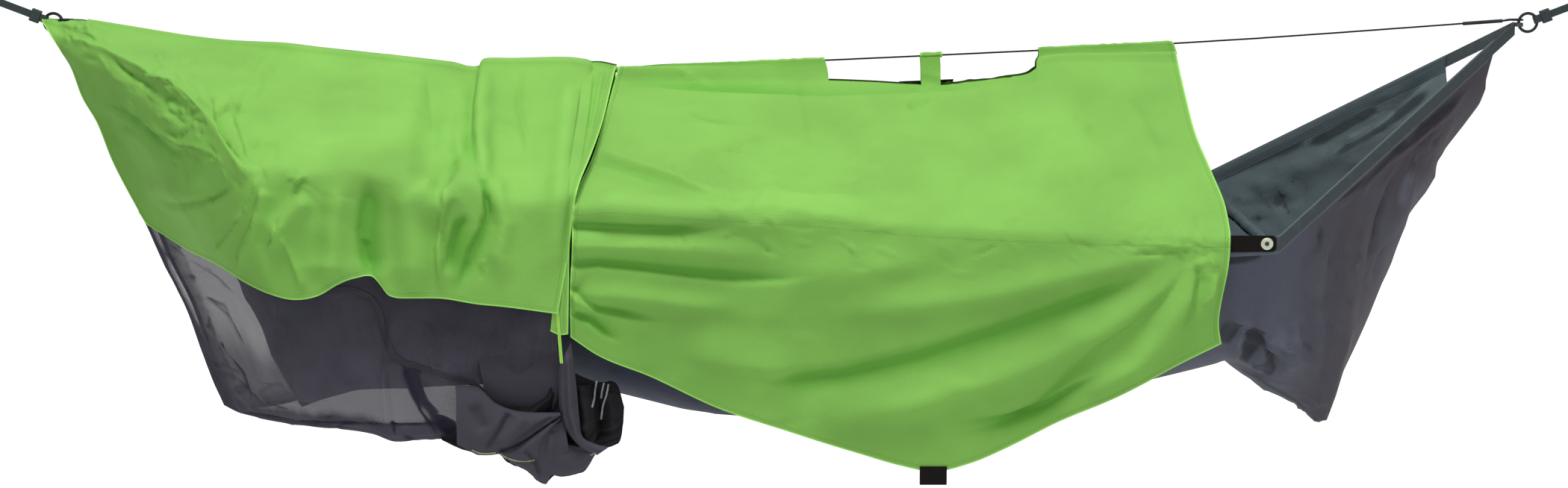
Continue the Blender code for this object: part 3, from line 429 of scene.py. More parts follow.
def edge_run(grid, sides):
    """For each point of a grid, (metres along the nearest hemmed side, metres in from it)."""
    across, down = run_along(grid, 1), run_along(grid, 0)
    runs = {
        "top": (down, across[:1] + 0 * down),
        "low": (down[-1:] - down, across[-1:] + 0 * down),
        "left": (across, down[:, :1] + 0 * across),
        "right": (across[:, -1:] - across, down[:, -1:] + 0 * across),
    }
    best, along = np.full(down.shape, np.inf), np.zeros(down.shape)
    for side in sides:
        distance, run = runs[side]
        nearer = distance < best
        best, along = np.where(nearer, distance, best), np.where(nearer, run, along)
    return np.stack([along, best], axis=-1)


def seam_run(grid, row):
    """For each point of a grid, (metres along one of its rows, metres below it, less than 0 above it)."""
    down = run_along(grid, 0)
    return np.stack([run_along(grid[row], 0) + 0 * down, down - down[row]], axis=-1)


def quads_of(index):
    """The corners of each cell of a grid whose points have these numbers."""
    return np.stack([index[:-1, :-1], index[1:, :-1], index[1:, 1:], index[:-1, 1:]], axis=-1)


def as_piece(name, points, faces, layers, fold, finishes):
    """A piece of cloth from its points and faces, with layers of UVs and the height of its folds."""
    data = bpy.data.meshes.new(name)
    data.from_pydata(points.tolist(), [], faces.tolist())
    data.shade_smooth()
    for layer_name, values in layers.items():
        layer = data.uv_layers.new(name=layer_name)
        layer.data.foreach_set("uv", values[faces.reshape(-1)].astype(np.float32).ravel())
    if fold is not None:
        heights = data.attributes.new("fold", "FLOAT", "POINT")
        heights.data.foreach_set("value", fold.astype(np.float32))
    for finish in finishes:
        data.materials.append(finish)
    piece = bpy.data.objects.new(name, data)
    bpy.context.scene.collection.objects.link(piece)
    return piece


def thin_mesh(name, grid, finish, keep=None, hem=None, seam=None, fold=None):
    """A sheet of cloth from a grid of points (rows, columns, xyz), with its flat size in metres as UVs."""
    index = np.arange(grid[..., 0].size).reshape(grid.shape[:2])
    quads = quads_of(index)
    quads = (quads if keep is None else quads[keep]).reshape(-1, 4)
    used = np.unique(quads)
    number = np.full(index.size, -1)
    number[used] = np.arange(len(used))
    down = run_along(grid, 0)
    flat = np.stack([run_along(grid, 1).mean(axis=0) + 0 * down, down], axis=-1)
    layers = {"flat": flat, "hem": hem, "seam": seam}
    layers = {key: values.reshape(-1, 2)[used] for key, values in layers.items() if values is not None}
    heights = None if fold is None else fold.reshape(-1)[used]
    return as_piece(name, grid.reshape(-1, 3)[used], number[quads], layers, heights, [finish])


def srgb(colour):
    """A hex colour as the linear numbers that a shader takes."""
    parts = [int(colour[i : i + 2], 16) / 255 for i in (0, 2, 4)]
    return [c / 12.92 if c <= 0.04045 else ((c + 0.055) / 1.055) ** 2.4 for c in parts] + [1]


def tone(colour, factor):
    """A colour made lighter or darker, by one factor or by one for each of its parts."""
    return [min(1.0, c * f) for c, f in zip(colour, np.broadcast_to(factor, 3))] + [1]


# Stitches: how far apart they start, how wide they are, and what share of their row they cover.
STITCH_PITCH = 0.0042
STITCH_WIDTH = 0.0009
STITCH_SHARE = 0.66
# How high doubled cloth stands, and how much of that its rows of stitches take away.
BAND_HEIGHT = 0.0012
BAND_GROOVE = 0.6


class Finish:
    """A material whose colour and surface are built up in steps from its base colour."""

    def __init__(self, name, base, roughness, specular=0.5, metallic=0.0):
        self.material = bpy.data.materials.new(name)
        self.material.use_nodes = True
        self.tree = self.material.node_tree
        self.shader = self.tree.nodes["Principled BSDF"]
        self.feed(self.shader, "Roughness", roughness)
        self.feed(self.shader, "Metallic", metallic)
        self.feed(self.shader, "Specular IOR Level", specular)
        self.base = base
        self.colour = base
        self.bump = None

    def feed(self, node, key, value):
        if hasattr(value, "is_output"):
            self.tree.links.new(value, node.inputs[key])
        else:
            node.inputs[key].default_value = value

    def add(self, kind, inputs, **settings):
        """A new node's outputs."""
        made = self.tree.nodes.new(kind)
        for key, value in settings.items():
            setattr(made, key, value)
        for key, value in inputs.items():
            self.feed(made, key, value)
        return made.outputs

    def maths(self, operation, *values, clamp=False):
        return self.add("ShaderNodeMath", dict(enumerate(values)), operation=operation, use_clamp=clamp)[0]

    def object_space(self, scale=(1, 1, 1)):
        place = self.add("ShaderNodeTexCoord", {})["Object"]
        return self.add("ShaderNodeMapping", {"Vector": place, "Scale": scale})[0]

    def uv(self, layer):
        """The two numbers of a layer of UVs."""
        return self.add("ShaderNodeSeparateXYZ", {0: self.add("ShaderNodeUVMap", {}, uv_map=layer)[0]})[:2]

    def fold_height(self):
        return self.add("ShaderNodeAttribute", {}, attribute_name="fold")["Fac"]

    def noise(self, vector, scale, detail=2.0, kind="FBM", roughness=0.5, distortion=0.0):
        inputs = {"Vector": vector, "Scale": scale, "Detail": detail, "Roughness": roughness}
        return self.add("ShaderNodeTexNoise", {**inputs, "Distortion": distortion}, noise_type=kind)[0]

    def mix(self, share, first, second):
        return self.add("ShaderNodeMix", {0: share, 6: first, 7: second}, data_type="RGBA")[2]

    def range(self, value, low, high, to_low=0.0, to_high=1.0):
        inputs = dict(enumerate((value, low, high, to_low, to_high)))
        return self.add("ShaderNodeMapRange", inputs, interpolation_type="SMOOTHSTEP")[0]

    def ramp(self, value, stops):
        """Sets the colour to tones of the base colour: stops are (value, factor)."""
        made = self.tree.nodes.new("ShaderNodeValToRGB")
        while len(made.color_ramp.elements) < len(stops):
            made.color_ramp.elements.new(0.5)
        for element, (position, factor) in zip(made.color_ramp.elements, stops):
            element.position = position
            element.color = tone(self.base, factor)
        self.feed(made, "Fac", value)
        self.colour = made.outputs[0]

    def tint(self, mask, target, share=None):
        """Turns the colour, where the mask is 1, to another one or to a tone of the base colour."""
        mask = mask if share is None else self.maths("MULTIPLY", mask, share)
        target = target if isinstance(target, list) else tone(self.base, target)
        self.colour = self.mix(mask, self.colour, target)

    def raise_surface(self, height, strength, distance):
        inputs = {"Height": height, "Strength": strength, "Distance": distance}
        if self.bump is not None:
            inputs["Normal"] = self.bump
        self.bump = self.add("ShaderNodeBump", inputs)[0]

    def done(self):
        self.feed(self.shader, "Base Color", self.colour)
        if self.bump is not None:
            self.feed(self.shader, "Normal", self.bump)
        return self.material

    def shade_folds(self, deep, lit):
        """Paints shade into the bottoms of the folds and a little painted light onto their tops."""
        height = self.fold_height()
        self.tint(self.range(height, -0.001, -0.016, 0.0, 0.75), deep)
        self.tint(self.range(height, 0.004, 0.020, 0.0, 0.5), lit)

    def stitches(self, run, rows, pitch=STITCH_PITCH, width=STITCH_WIDTH):
        """1 on the stitches of rows that lie at these distances from an edge, and 1 along the rows."""
        along, across = run
        dash = self.maths("LESS_THAN", self.maths("FRACT", self.maths("DIVIDE", along, pitch)), STITCH_SHARE)
        offs = [self.maths("ABSOLUTE", self.maths("SUBTRACT", across, row)) for row in rows]
        lines = [self.range(off, width, width * 0.4) for off in offs]
        total = lines[0]
        for line in lines[1:]:
            total = self.maths("MAXIMUM", total, line)
        return self.maths("MULTIPLY", total, dash), total

    def sewn_band(self, band, rows, strength):
        """Raises a band of doubled cloth, drawn in along its rows of stitches."""
        groove = self.maths("MULTIPLY", rows, BAND_GROOVE)
        self.raise_surface(self.maths("SUBTRACT", band, groove), strength, BAND_HEIGHT)


# Sewn bands in metres from the cloth's edge, or from the line that the seam follows.
HEM_ROWS = (0.0016, 0.0078)
HEM_WIDTH = 0.0095
SEAM_ROWS = (0.006, 0.021)
SEAM_MIDDLE = 0.0135
SEAM_HALF = 0.0085
# The pale fold at the very edge of a hem, and how far a band's border is blurred to each side.
TURNED_EDGE = (0.0036, 0.0026)
SOFT = 0.0004


def sew(cloth, run, off, rows, half, shade):
    """A band of doubled cloth, a little darker and puckered, with pale stitches along its rows."""
    marks, lines = cloth.stitches(run, rows)
    band = cloth.range(off, half + SOFT, half - SOFT)
    cloth.tint(band, 0.86, share=shade)
    cloth.tint(marks, 1.35, share=0.45)
    cloth.sewn_band(band, lines, 0.6)
    pucker = cloth.noise(cloth.object_space(), 160.0, 1.0)
    cloth.raise_surface(cloth.maths("MULTIPLY", pucker, band), 0.35, 0.0012)


def cloth_finish(name, colour, roughness, hem=True, seam=False, crumple=0.5, specular=0.4):
    """Coated fabric: crinkled, a little uneven in colour, with sewn hems along its edges."""
    cloth = Finish(name, srgb(colour), roughness, specular)
    place = cloth.object_space()
    cloth.ramp(cloth.noise(place, 5.0, 4.0), [(0.30, 0.86), (0.70, 1.08)])
    threads = cloth.noise(cloth.object_space((1, 1, 0.35)), 420.0, 2.0)
    cloth.tint(cloth.range(threads, 0.3, 0.7), 0.80, share=0.10)
    # Painted shade in the fold hollows, greener as where light shines through the thin cloth, and painted
    # light on the folds' tops.
    cloth.shade_folds((0.50, 0.74, 0.45), 1.15)
    broad = cloth.noise(cloth.object_space((0.8, 1, 1.5)), 7.0, 5.0, "RIDGED_MULTIFRACTAL", 0.5, 0.6)
    fine = cloth.noise(place, 34.0, 4.0, roughness=0.6, distortion=1.2)
    cloth.raise_surface(broad, 0.9 * crumple, 0.014)
    cloth.raise_surface(fine, 0.5 * crumple, 0.0020)
    cloth.raise_surface(threads, 0.10, 0.0004)
    if hem:
        run = cloth.uv("hem")
        sew(cloth, run, run[1], HEM_ROWS, HEM_WIDTH, 0.35)
        cloth.tint(cloth.range(run[1], *TURNED_EDGE), 1.6, share=0.8)
    if seam:
        run = cloth.uv("seam")
        off = cloth.maths("ABSOLUTE", cloth.maths("SUBTRACT", run[1], SEAM_MIDDLE))
        sew(cloth, run, off, SEAM_ROWS, SEAM_HALF, 0.2)
    return cloth.done()


def webbing_finish(name, colour, pitch):
    """Woven strap: ribs across it, a fleck of lighter yarn and a little wear."""
    strap = Finish(name, srgb(colour), 0.75, specular=0.12)
    place = strap.object_space()
    wave = {"Scale": 1 / (pitch * 3.2), "Distortion": 2.2, "Detail": 2.0, "Detail Scale": 2.0}
    inputs = {"Vector": place, **wave}
    ribs = strap.add("ShaderNodeTexWave", inputs, wave_type="BANDS", bands_direction="X")[1]
    cells = {"Vector": strap.object_space((1.0, 0.6, 1.6)), "Scale": 0.8 / pitch}
    weave = strap.maths("MULTIPLY", ribs, strap.add("ShaderNodeTexVoronoi", cells)[0])
    strap.ramp(weave, [(0.0, 0.55), (0.45, 1), (1.0, 1.55)])
    dust = strap.noise(place, 40.0, 3.0)
    strap.tint(strap.range(dust, 0.5, 0.8, 0.0, 0.35), 1.3)
    strap.raise_surface(weave, 0.6, pitch * 0.4)
    strap.raise_surface(dust, 0.2, 0.0006)
    return strap.done()


def metal_finish(name, colour, roughness, metallic=1.0, scratch=0.12):
    """Metal with fine scratches, a little uneven in its shine."""
    metal = Finish(name, srgb(colour), roughness, metallic=metallic)
    lines = metal.noise(metal.object_space((1, 6, 1)), 260.0, 3.0, distortion=0.3)
    metal.ramp(metal.noise(metal.object_space(), 55.0, 3.0), [(0.3, 0.80), (0.7, 1.08)])
    shine = metal.range(lines, 0.3, 0.8, roughness - scratch, roughness + scratch)
    metal.feed(metal.shader, "Roughness", shine)
    metal.raise_surface(lines, 0.15, 0.0002)
    return metal.done()


def plastic_finish(name, colour, roughness):
    plastic = Finish(name, srgb(colour), roughness)
    grain = plastic.noise(plastic.object_space(), 700.0, 2.0)
    plastic.ramp(grain, [(0.3, 0.85), (0.7, 1.15)])
    plastic.raise_surface(grain, 0.3, 0.0002)
    return plastic.done()


def cord_finish(name, colour):
    """Braided cord: slanting strands that cross each other."""
    cord = Finish(name, srgb(colour), 0.7, specular=0.15)
    strands = []
    for slant in (1, -1):
        inputs = {"Vector": cord.object_space((1.0, slant, slant * 0.6)), "Scale": 130.0}
        strands += [cord.add("ShaderNodeTexWave", inputs, wave_type="BANDS", bands_direction="DIAGONAL")[1]]
    braid = cord.maths("MULTIPLY", *strands)
    cord.ramp(braid, [(0.0, 0.5), (0.5, 1), (1.0, 2.0)])
    cord.raise_surface(braid, 0.8, 0.0007)
    return cord.done()


# The bed's fabric is brown from here on at its right end, and navy under its middle.
BROWN_FROM = (0.98, 1.16)
NAVY_MIDDLE = -0.05
NAVY_UNTIL = (0.72, 0.58)
BAND_WIDTH = 0.033
BAND_ROWS = (0.0030, 0.0130, BAND_WIDTH - 0.003)
BAND_SOFT = 0.0006


def bed_finish(name, colours, roughness, band_colour):
    """The bed's fabric in its three colours, (slate, brownish, navy), with its bands of another."""
    slate, brown, navy = (srgb(c) for c in colours)
    bed = Finish(name, slate, roughness, specular=0.14)
    place = bed.object_space()
    x = bed.add("ShaderNodeSeparateXYZ", {0: place})[0]
    blots = bed.noise(place, 6.0, 4.0)
    bed.tint(bed.range(bed.maths("ADD", x, bed.maths("MULTIPLY", blots, 0.18)), *BROWN_FROM), brown)
    off = bed.maths("ABSOLUTE", bed.maths("SUBTRACT", x, NAVY_MIDDLE))
    bed.tint(bed.range(off, *NAVY_UNTIL), navy)
    threads = bed.noise(bed.object_space((1, 0.5, 1)), 480.0, 2.0)
    bed.tint(bed.range(threads, 0.35, 0.7, 0.0, 0.35), 0.62)
    bed.tint(bed.range(blots, 0.45, 0.75, 0.0, 0.35), 1.35)
    # Painted shade in the fold hollows and painted light on the folds' tops.
    bed.shade_folds(0.14, 1.9)
    run = bed.uv("hem")
    marks, rows = bed.stitches(run, BAND_ROWS)
    band = bed.range(run[1], BAND_WIDTH + BAND_SOFT, BAND_WIDTH - BAND_SOFT)
    bed.tint(band, srgb(band_colour), share=0.85)
    bed.tint(marks, 2.2, share=0.35)
    broad = bed.noise(bed.object_space((1.2, 1, 0.8)), 8.0, 5.0, "RIDGED_MULTIFRACTAL", 0.5, 0.5)
    fine = bed.noise(place, 40.0, 4.0, roughness=0.6, distortion=1.0)
    bed.raise_surface(broad, 0.6, 0.010)
    bed.raise_surface(fine, 0.5, 0.0022)
    bed.raise_surface(threads, 0.15, 0.0004)
    bed.sewn_band(band, rows, 0.7)
    return bed.done()


NET_PITCH = 0.0022
NET_HEM_ROWS = (0.0020, 0.0085)
NET_HEM_WIDTH = (0.0105, 0.0095)
# Heights above the net's lower edge between which it is doubled where it is turned up.
NET_TURNED_UP = (-0.240, -0.110)
# Distances from the edge between which the net gathers and lets less light through.
NET_CLOSING = (0.050, 0.008)


def net_finish(name, colour, crease_shade, alpha, deep):
    """Fine mosquito net: dark threads with small holes, see-through as a whole, and closed at its hem."""
    net = Finish(name, srgb(colour), 0.8, specular=0.10)
    run = net.uv("hem")
    threads = []
    for value in net.uv("flat"):
        wave = net.maths("SUBTRACT", net.maths("FRACT", net.maths("DIVIDE", value, NET_PITCH)), 0.5)
        threads.append(net.range(net.maths("ABSOLUTE", wave), 0.30, 0.42))
    net.ramp(net.noise(net.object_space(), 14.0, 4.0), [(0.3, 0.85), (0.7, 1.2)])
    marks, _ = net.stitches(run, NET_HEM_ROWS, 0.0040, 0.0008)
    net.tint(marks, 2.5, share=0.5)
    height = net.fold_height()
    # Painted shade in the hollows of the creases.
    net.tint(net.range(height, -0.0005, -0.0060, 0.0, 0.7), srgb(crease_shade))
    gathers = net.noise(net.object_space((1.6, 1, 0.6)), 13.0, 4.0, "RIDGED_MULTIFRACTAL", 0.5, 0.8)
    share = net.maths("ADD", alpha - 0.14, net.maths("MULTIPLY", net.maths("MAXIMUM", *threads), 0.26))
    for closed in (
        net.range(gathers, 0.7, 1.4, 0.0, 0.22),
        net.range(height, -0.0005, -0.0050, 0.0, 0.28),
        net.range(net.uv("seam")[1], *NET_TURNED_UP, 0.0, deep),
        net.range(run[1], *NET_CLOSING, 0.0, 0.32),
    ):
        share = net.maths("ADD", share, closed)
    hem = net.maths("MULTIPLY", net.range(run[1], *NET_HEM_WIDTH), 0.40)
    net.feed(net.shader, "Alpha", net.maths("ADD", share, hem, clamp=True))
    net.raise_surface(net.noise(net.object_space(), 30.0, 4.0), 0.4, 0.004)
    return net.done()


TAPE_ROWS = (0.0012, 0.0034)


def tape_finish(name, colour):
    """Binding tape with stitch rows along both edges."""
    tape = Finish(name, srgb(colour), 0.7, specular=0.12)
    threads = tape.noise(tape.object_space(), 500.0, 2.0)
    tape.ramp(threads, [(0.3, 0.75), (0.7, 1.2)])
    marks, rows = tape.stitches(tape.uv("hem"), TAPE_ROWS, 0.0036, 0.0006)
    tape.tint(marks, 2.6, share=0.5)
    tape.raise_surface(tape.maths("SUBTRACT", 1.0, rows), 0.6, 0.0008)
    return tape.done()


# How far out from the ridge's plane the sheets hang: beyond the bed's edge, and clear of the bed's wall.
EDGE_OUT = 0.0145
BED_CLEAR = 0.012
# Between these places, towards the left end, the sheets come to hang clear of the bed's bag by more.
BAG_ZONE = (-0.98, -1.08)
# How far in the folds of fly and cover may go where something lies under them.
ROOF_INWARD = 0.011

# The rain fly, drawn over the photo: its ridge, the lower edge of its windows, the bed's edge and the hem.
FLY_RIDGE = [
    (828, 93.5), (870, 88), (935, 85), (1000, 83), (1105, 80), (1232, 76.5), (1259, 75.5), (1300, 74),
    (1389, 65.5), (1440, 63), (1500, 60), (1572, 57.5),
]
FLY_WINDOW = [
    (823, 108), (900, 107), (1000, 106.5), (1105, 107), (1160, 108.7), (1234, 112), (1260, 112),
    (1300, 108.5), (1350, 102.5), (1378, 97.5), (1388, 91), (1400, 85), (1480, 82), (1578, 84),
]
FLY_FOLD = [
    (757, 273), (830, 279), (906, 284), (1040, 291.5), (1171, 298), (1300, 305), (1432, 311), (1540, 315),
    (1613, 316.5), (1650, 316),
]
FLY_HEM = [
    (762, 452), (800, 477), (870, 505), (960, 547), (1050, 577), (1150, 608), (1205, 624), (1250, 632),
    (1300, 621), (1350, 600), (1420, 565), (1500, 530), (1585, 486), (1636, 461),
]
FLY_LEFT_SIDE = [
    (0, 828, 93.5), (1, 823, 108), (1.5, 797, 200), (2, 768, 273), (2.35, 766, 330), (2.7, 763, 400),
    (3, 764, 452),
]
FLY_RIGHT_SIDE = [
    (0, 1572, 57.5), (0.25, 1576, 70), (1, 1578, 84), (1.2, 1588, 128), (1.42, 1601, 178),
    (1.65, 1621, 226), (1.82, 1640, 272), (1.92, 1646, 300), (2, 1648, 316), (2.2, 1646, 352),
    (2.55, 1635, 408), (2.8, 1632.5, 435), (3, 1636, 461),
]
FLY_STATIONS = (0.0, 0.37, 0.54, 0.58, 0.76, 1.0)
FLY_LINES = (
    (FLY_RIDGE, (828, 1105, 1232, 1259, 1391, 1572)),
    (FLY_WINDOW, (823, 1110, 1234, 1260, 1388, 1578)),
    (FLY_FOLD, (757, 1080, 1215, 1245, 1400, 1648)),
    (FLY_HEM, (762, 1080, 1225, 1260, 1405, 1636)),
)
FLY_ACROSS = (800, 1100, 1232, 1259, 1395, 1620)
FLY_DOWN = (30, 205, 235)
WINDOW_CELLS = ((0.37, 0.54), (0.58, 0.76))
# How far out the fly is at its ridge and at its windows' lower edge, and how its skirt swells and falls in.
FLY_RIDGE_OUT = 0.0062
FLY_WINDOW_OUT = 0.0142
SKIRT_SWELL = 0.006
SKIRT_FALL_IN = 0.004
# From this row on the fly hangs free, and its folds may go in this far. They grow between these rows.
FLY_FREE_FROM = 2.6
FLY_INWARD = 0.030
FLY_GROWTH = (-0.1, 0.5)
FLY_STROKES = [
    # Long folds of the roof.
    ("sharp", -0.0075, 10, (0.2, 0.5),
     [(828, 113), (960, 119), (1105, 124), (1240, 121), (1390, 106), (1500, 84)]),
    ("ridge", 0.0035, 9, (0.1, 0.3), [(826, 122), (960, 131), (1105, 137), (1250, 130), (1420, 108)]),
    ("crease", -0.004, 7, (0.2, 0.5), [(915, 150), (948, 160), (975, 163), (1060, 172)]),
    ("ridge", 0.003, 10, (0.3, 0.3), [(905, 216), (950, 205), (1000, 190), (1050, 170)]),
    ("crease", -0.003, 5, (0.3, 0.3), [(900, 217), (950, 209), (1005, 193), (1062, 171)]),
    ("sharp", 0.010, 9, (0.15, 0.35), [(795, 203), (850, 222), (905, 240), (950, 262), (990, 270)]),
    ("crease", -0.006, 6, (0.1, 0.4), [(790, 213), (840, 228), (900, 248), (945, 268)]),
    ("ridge", 0.012, 22, (0.1, 0.4),
     [(775, 272), (850, 280), (930, 285), (1010, 284), (1100, 285), (1250, 292)]),
    ("ridge", 0.006, 16, (0.3, 0.3), [(960, 262), (1030, 270), (1110, 276), (1200, 280)]),
    # The deep fold along the bed's edge, tucked under the roof.
    ("step", -0.016, 6, (0.05, 0.45),
     [(762, 300), (800, 300), (850, 302), (900, 303), (950, 300), (985, 296)]),
    ("crease", -0.008, 7, (0.05, 0.5), [(765, 303), (820, 304), (880, 307), (940, 306), (1000, 300)]),
    ("ridge", 0.011, 20, (0.05, 0.4), [(760, 330), (830, 332), (900, 336), (980, 340), (1060, 341)]),
    ("sharp", -0.014, 15, (0.05, 0.45),
     [(758, 356), (800, 352), (860, 358), (920, 366), (980, 372), (1050, 374), (1110, 364)]),
    ("ridge", 0.009, 15, (0.05, 0.4), [(762, 402), (820, 398), (880, 402), (940, 410), (1010, 416)]),
    ("sharp", -0.012, 12, (0.05, 0.5), [(765, 382), (780, 400), (800, 414), (850, 424), (900, 430)]),
    ("sharp", -0.010, 10, (0.1, 0.5), [(764, 420), (790, 430), (810, 448), (835, 458)]),
    # Swags from the pole's tip across the skirt.
    ("sharp", -0.010, 26, (0.2, 0.35),
     [(1590, 345), (1520, 374), (1430, 410), (1330, 446), (1230, 478), (1130, 502), (1040, 511), (950, 498),
      (870, 474)]),
    ("ridge", 0.010, 20, (0.2, 0.35),
     [(1590, 330), (1520, 350), (1440, 368), (1340, 392), (1240, 408), (1140, 416), (1060, 414)]),
    ("ridge", 0.012, 24, (0.25, 0.4),
     [(1598, 350), (1560, 385), (1480, 440), (1400, 480), (1300, 518), (1200, 544), (1100, 556)]),
    ("sharp", -0.009, 18, (0.2, 0.3),
     [(1597, 352), (1565, 395), (1520, 436), (1470, 470), (1430, 505), (1390, 545), (1330, 575),
      (1260, 592)]),
    ("sharp", -0.010, 12, (0.2, 0.4),
     [(1480, 500), (1440, 520), (1400, 545), (1350, 560), (1290, 566), (1262, 575)]),
    ("ridge", 0.012, 22, (0.2, 0.4),
     [(1600, 352), (1590, 400), (1560, 450), (1520, 490), (1460, 525), (1400, 552)]),
    ("ridge", 0.007, 12, (0.1, 0.5), [(1605, 345), (1622, 375), (1622, 410), (1612, 440)]),
    ("sharp", -0.009, 9, (0.15, 0.4), [(1602, 348), (1606, 375), (1600, 405), (1590, 430), (1580, 450)]),
    ("sharp", 0.007, 9, (0.2, 0.4), [(1618, 340), (1630, 365), (1624, 395), (1610, 415)]),
    ("ridge", 0.009, 30, (0.3, 0.3), [(1300, 520), (1220, 548), (1140, 556), (1060, 552)]),
    ("ridge", 0.008, 26, (0.3, 0.4), [(1240, 350), (1120, 366), (1040, 380)]),
    ("ridge", 0.008, 30, (0.3, 0.3), [(900, 460), (990, 492), (1080, 512)]),
    # The pull at the tip under the stitched band.
    ("crease", 0.006, 5, (0.3, 0.2), [(1540, 326), (1560, 330), (1585, 333), (1604, 334)]),
    ("crease", -0.005, 4, (0.3, 0.1), [(1500, 340), (1545, 340), (1580, 336), (1600, 334)]),
    # Soft light and dark of the right half of the roof: shallow wrinkles that spread from the pole's tip.
    ("ridge", 0.004, 14, (0.3, 0.3), [(1390, 150), (1430, 170), (1470, 205), (1520, 250)]),
    ("crease", -0.0025, 7, (0.3, 0.3), [(1340, 195), (1400, 193), (1440, 188)]),
    ("ridge", 0.003, 9, (0.3, 0.3), [(1425, 150), (1440, 168), (1465, 175)]),
    ("ridge", 0.004, 16, (0.3, 0.4), [(1280, 200), (1360, 235), (1450, 255)]),
    ("ridge", 0.003, 10, (0.3, 0.3), [(1500, 120), (1530, 170), (1560, 230)]),
    ("ridge", 0.0035, 12, (0.3, 0.3), [(1110, 215), (1190, 236), (1270, 238)]),
    ("crease", -0.003, 6, (0.4, 0.3), [(1045, 105), (1072, 112), (1085, 180), (1090, 200)]),
    ("crease", -0.002, 5, (0.3, 0.4), [(1095, 190), (1120, 170), (1140, 150)]),
]
# Painted shade, in strokes like the folds, which only darken the fly's colour.
FLY_PAINTED_SHADING = [
    ("ridge", -0.0045, 22, (0.2, 0.3),
     [(1590, 345), (1520, 374), (1430, 410), (1330, 446), (1230, 478), (1130, 502), (1040, 511), (950, 500),
      (850, 470)]),
    ("step", -0.005, 14, (0.1, 0.3), [(990, 300), (900, 299), (800, 297), (762, 297)]),
    ("ridge", -0.006, 14, (0.1, 0.4), [(822, 108), (960, 116), (1105, 121)]),
    ("ridge", -0.006, 16, (0.2, 0.4), [(762, 420), (800, 440), (850, 455)]),
    ("ridge", -0.004, 12, (0.2, 0.4), [(765, 352), (860, 356), (980, 370), (1100, 366)]),
    ("crease", -0.005, 4, (0.2, 0.3), [(905, 216), (960, 205), (1010, 190), (1064, 170)]),
    ("crease", -0.004, 4, (0.2, 0.3), [(915, 148), (950, 160), (985, 166)]),
    ("crease", -0.004, 5, (0.2, 0.3), [(792, 208), (850, 226), (905, 246), (945, 266)]),
    ("crease", -0.004, 4, (0.1, 0.1), [(1232, 328), (1340, 331), (1460, 334), (1588, 334)]),
    ("step", -0.004, 10, (0.0, 0.0), [(1218, 121), (1282, 119)]),
    ("ridge", -0.0022, 42, (0.3, 0.2), [(1180, 84), (1380, 88), (1568, 92)]),
]
FLY_SEED = 11
FLY_CRINKLES = dict(count=240, height=0.0032, length=42, turn=16, spots=[
    (1000, 268, 60, 4, 1.0),
    (1120, 280, 90, 3, 1.0),
    (1300, 285, 90, 6, 0.7),
    (1500, 315, 60, 8, 0.8),
    (930, 240, 70, 24, 0.8),
    (1240, 120, 34, 10, 0.6),
    (1600, 320, 30, 40, 0.3),
    (1330, 100, 60, -14, 0.4),
    (900, 100, 60, 8, 0.4),
])
# What the strokes' height and width are multiplied by on each side, and their shift in pixels.
FLY_SIDES = (("front", 1.35), ("rear", 1.35 * 0.85, 1.1, -18))


def fly_depth(t):
    """How far out the fly hangs: near the cord at its ridge, over the bed's edge, down beside the bed."""
    def depth(x, z):
        edge = BED_HALF_WIDTH * edge_share(x) + EDGE_OUT
        vent = FLY_RIDGE_OUT + (FLY_WINDOW_OUT - FLY_RIDGE_OUT) * t
        roof = np.where(t < 1, vent, FLY_WINDOW_OUT + (edge - FLY_WINDOW_OUT) * (t - 1))
        swell = SKIRT_SWELL * np.sin(np.pi * np.clip(t - 2, 0, 1))
        skirt = np.maximum(edge - SKIRT_FALL_IN * (t - 2) + swell, bed_width_at(x, z) + BED_CLEAR)
        return np.where(t <= 2, roof, skirt)
    return depth


def make_fly(finish):
    columns, rows, pixels, _, t = laid_out(
        FLY_LINES, FLY_STATIONS, FLY_ACROSS, FLY_DOWN, FLY_LEFT_SIDE, FLY_RIGHT_SIDE)
    keep = np.ones((len(rows) - 1, len(columns) - 1), bool)
    middle = (columns[:-1] + columns[1:]) / 2
    for low, high in WINDOW_CELLS:
        keep[np.ix_(rows[1:] < 1.001, (middle > low) & (middle < high))] = False
    calm = rise(t, *FLY_GROWTH)
    inward = np.where(t < FLY_FREE_FROM, ROOF_INWARD, FLY_INWARD)
    seam_row = int(np.argmin(abs(rows - 2)))
    for end, turn, soft, strokes in on_both_sides(pixels, FLY_SEED, FLY_CRINKLES, FLY_STROKES, FLY_SIDES):
        grid, fold = drape(pixels, fly_depth(t), strokes, soft, calm, inward, FLY_PAINTED_SHADING)
        grid = grid * turn
        hems = edge_run(grid, ("low", "right", "left"))
        piece = thin_mesh("fly_%s_cloth" % end, grid, finish, keep, hems, seam_run(grid, seam_row), fold)
        yield piece


# The cover, drawn over the photo: its ridge, the bed's edge under it, and its green hem.
COVER_RIDGE = [
    (62, 29), (72, 26), (85, 27), (103, 26.5), (130, 31), (160, 36), (225, 46), (290, 55), (330, 58),
    (370, 60), (420, 66), (467, 71), (550, 80), (600, 86), (640, 91), (643.5, 83), (648, 81), (680, 81),
    (720, 80), (745, 79.5), (775, 81.5), (790, 86), (796, 93),
]
COVER_FOLD = [
    (63, 40), (90, 47), (120, 58), (150, 72), (190, 92), (230, 110), (262, 138), (290, 170), (318, 205),
    (345, 224), (380, 223), (420, 225), (460, 221), (500, 224), (540, 236), (572, 258), (596, 256),
    (614, 238), (636, 240), (660, 258), (700, 264), (740, 262), (768, 256),
]
COVER_HEM = [
    (195, 300), (225, 319), (250, 335), (290, 355), (330, 380), (360, 394), (395, 402), (415, 400),
    (430, 395), (450, 383), (465, 376), (480, 372), (490, 370), (500, 372), (510, 383), (518, 394),
    (525, 398), (550, 400), (585, 400), (640, 408), (680, 412), (747, 421),
]
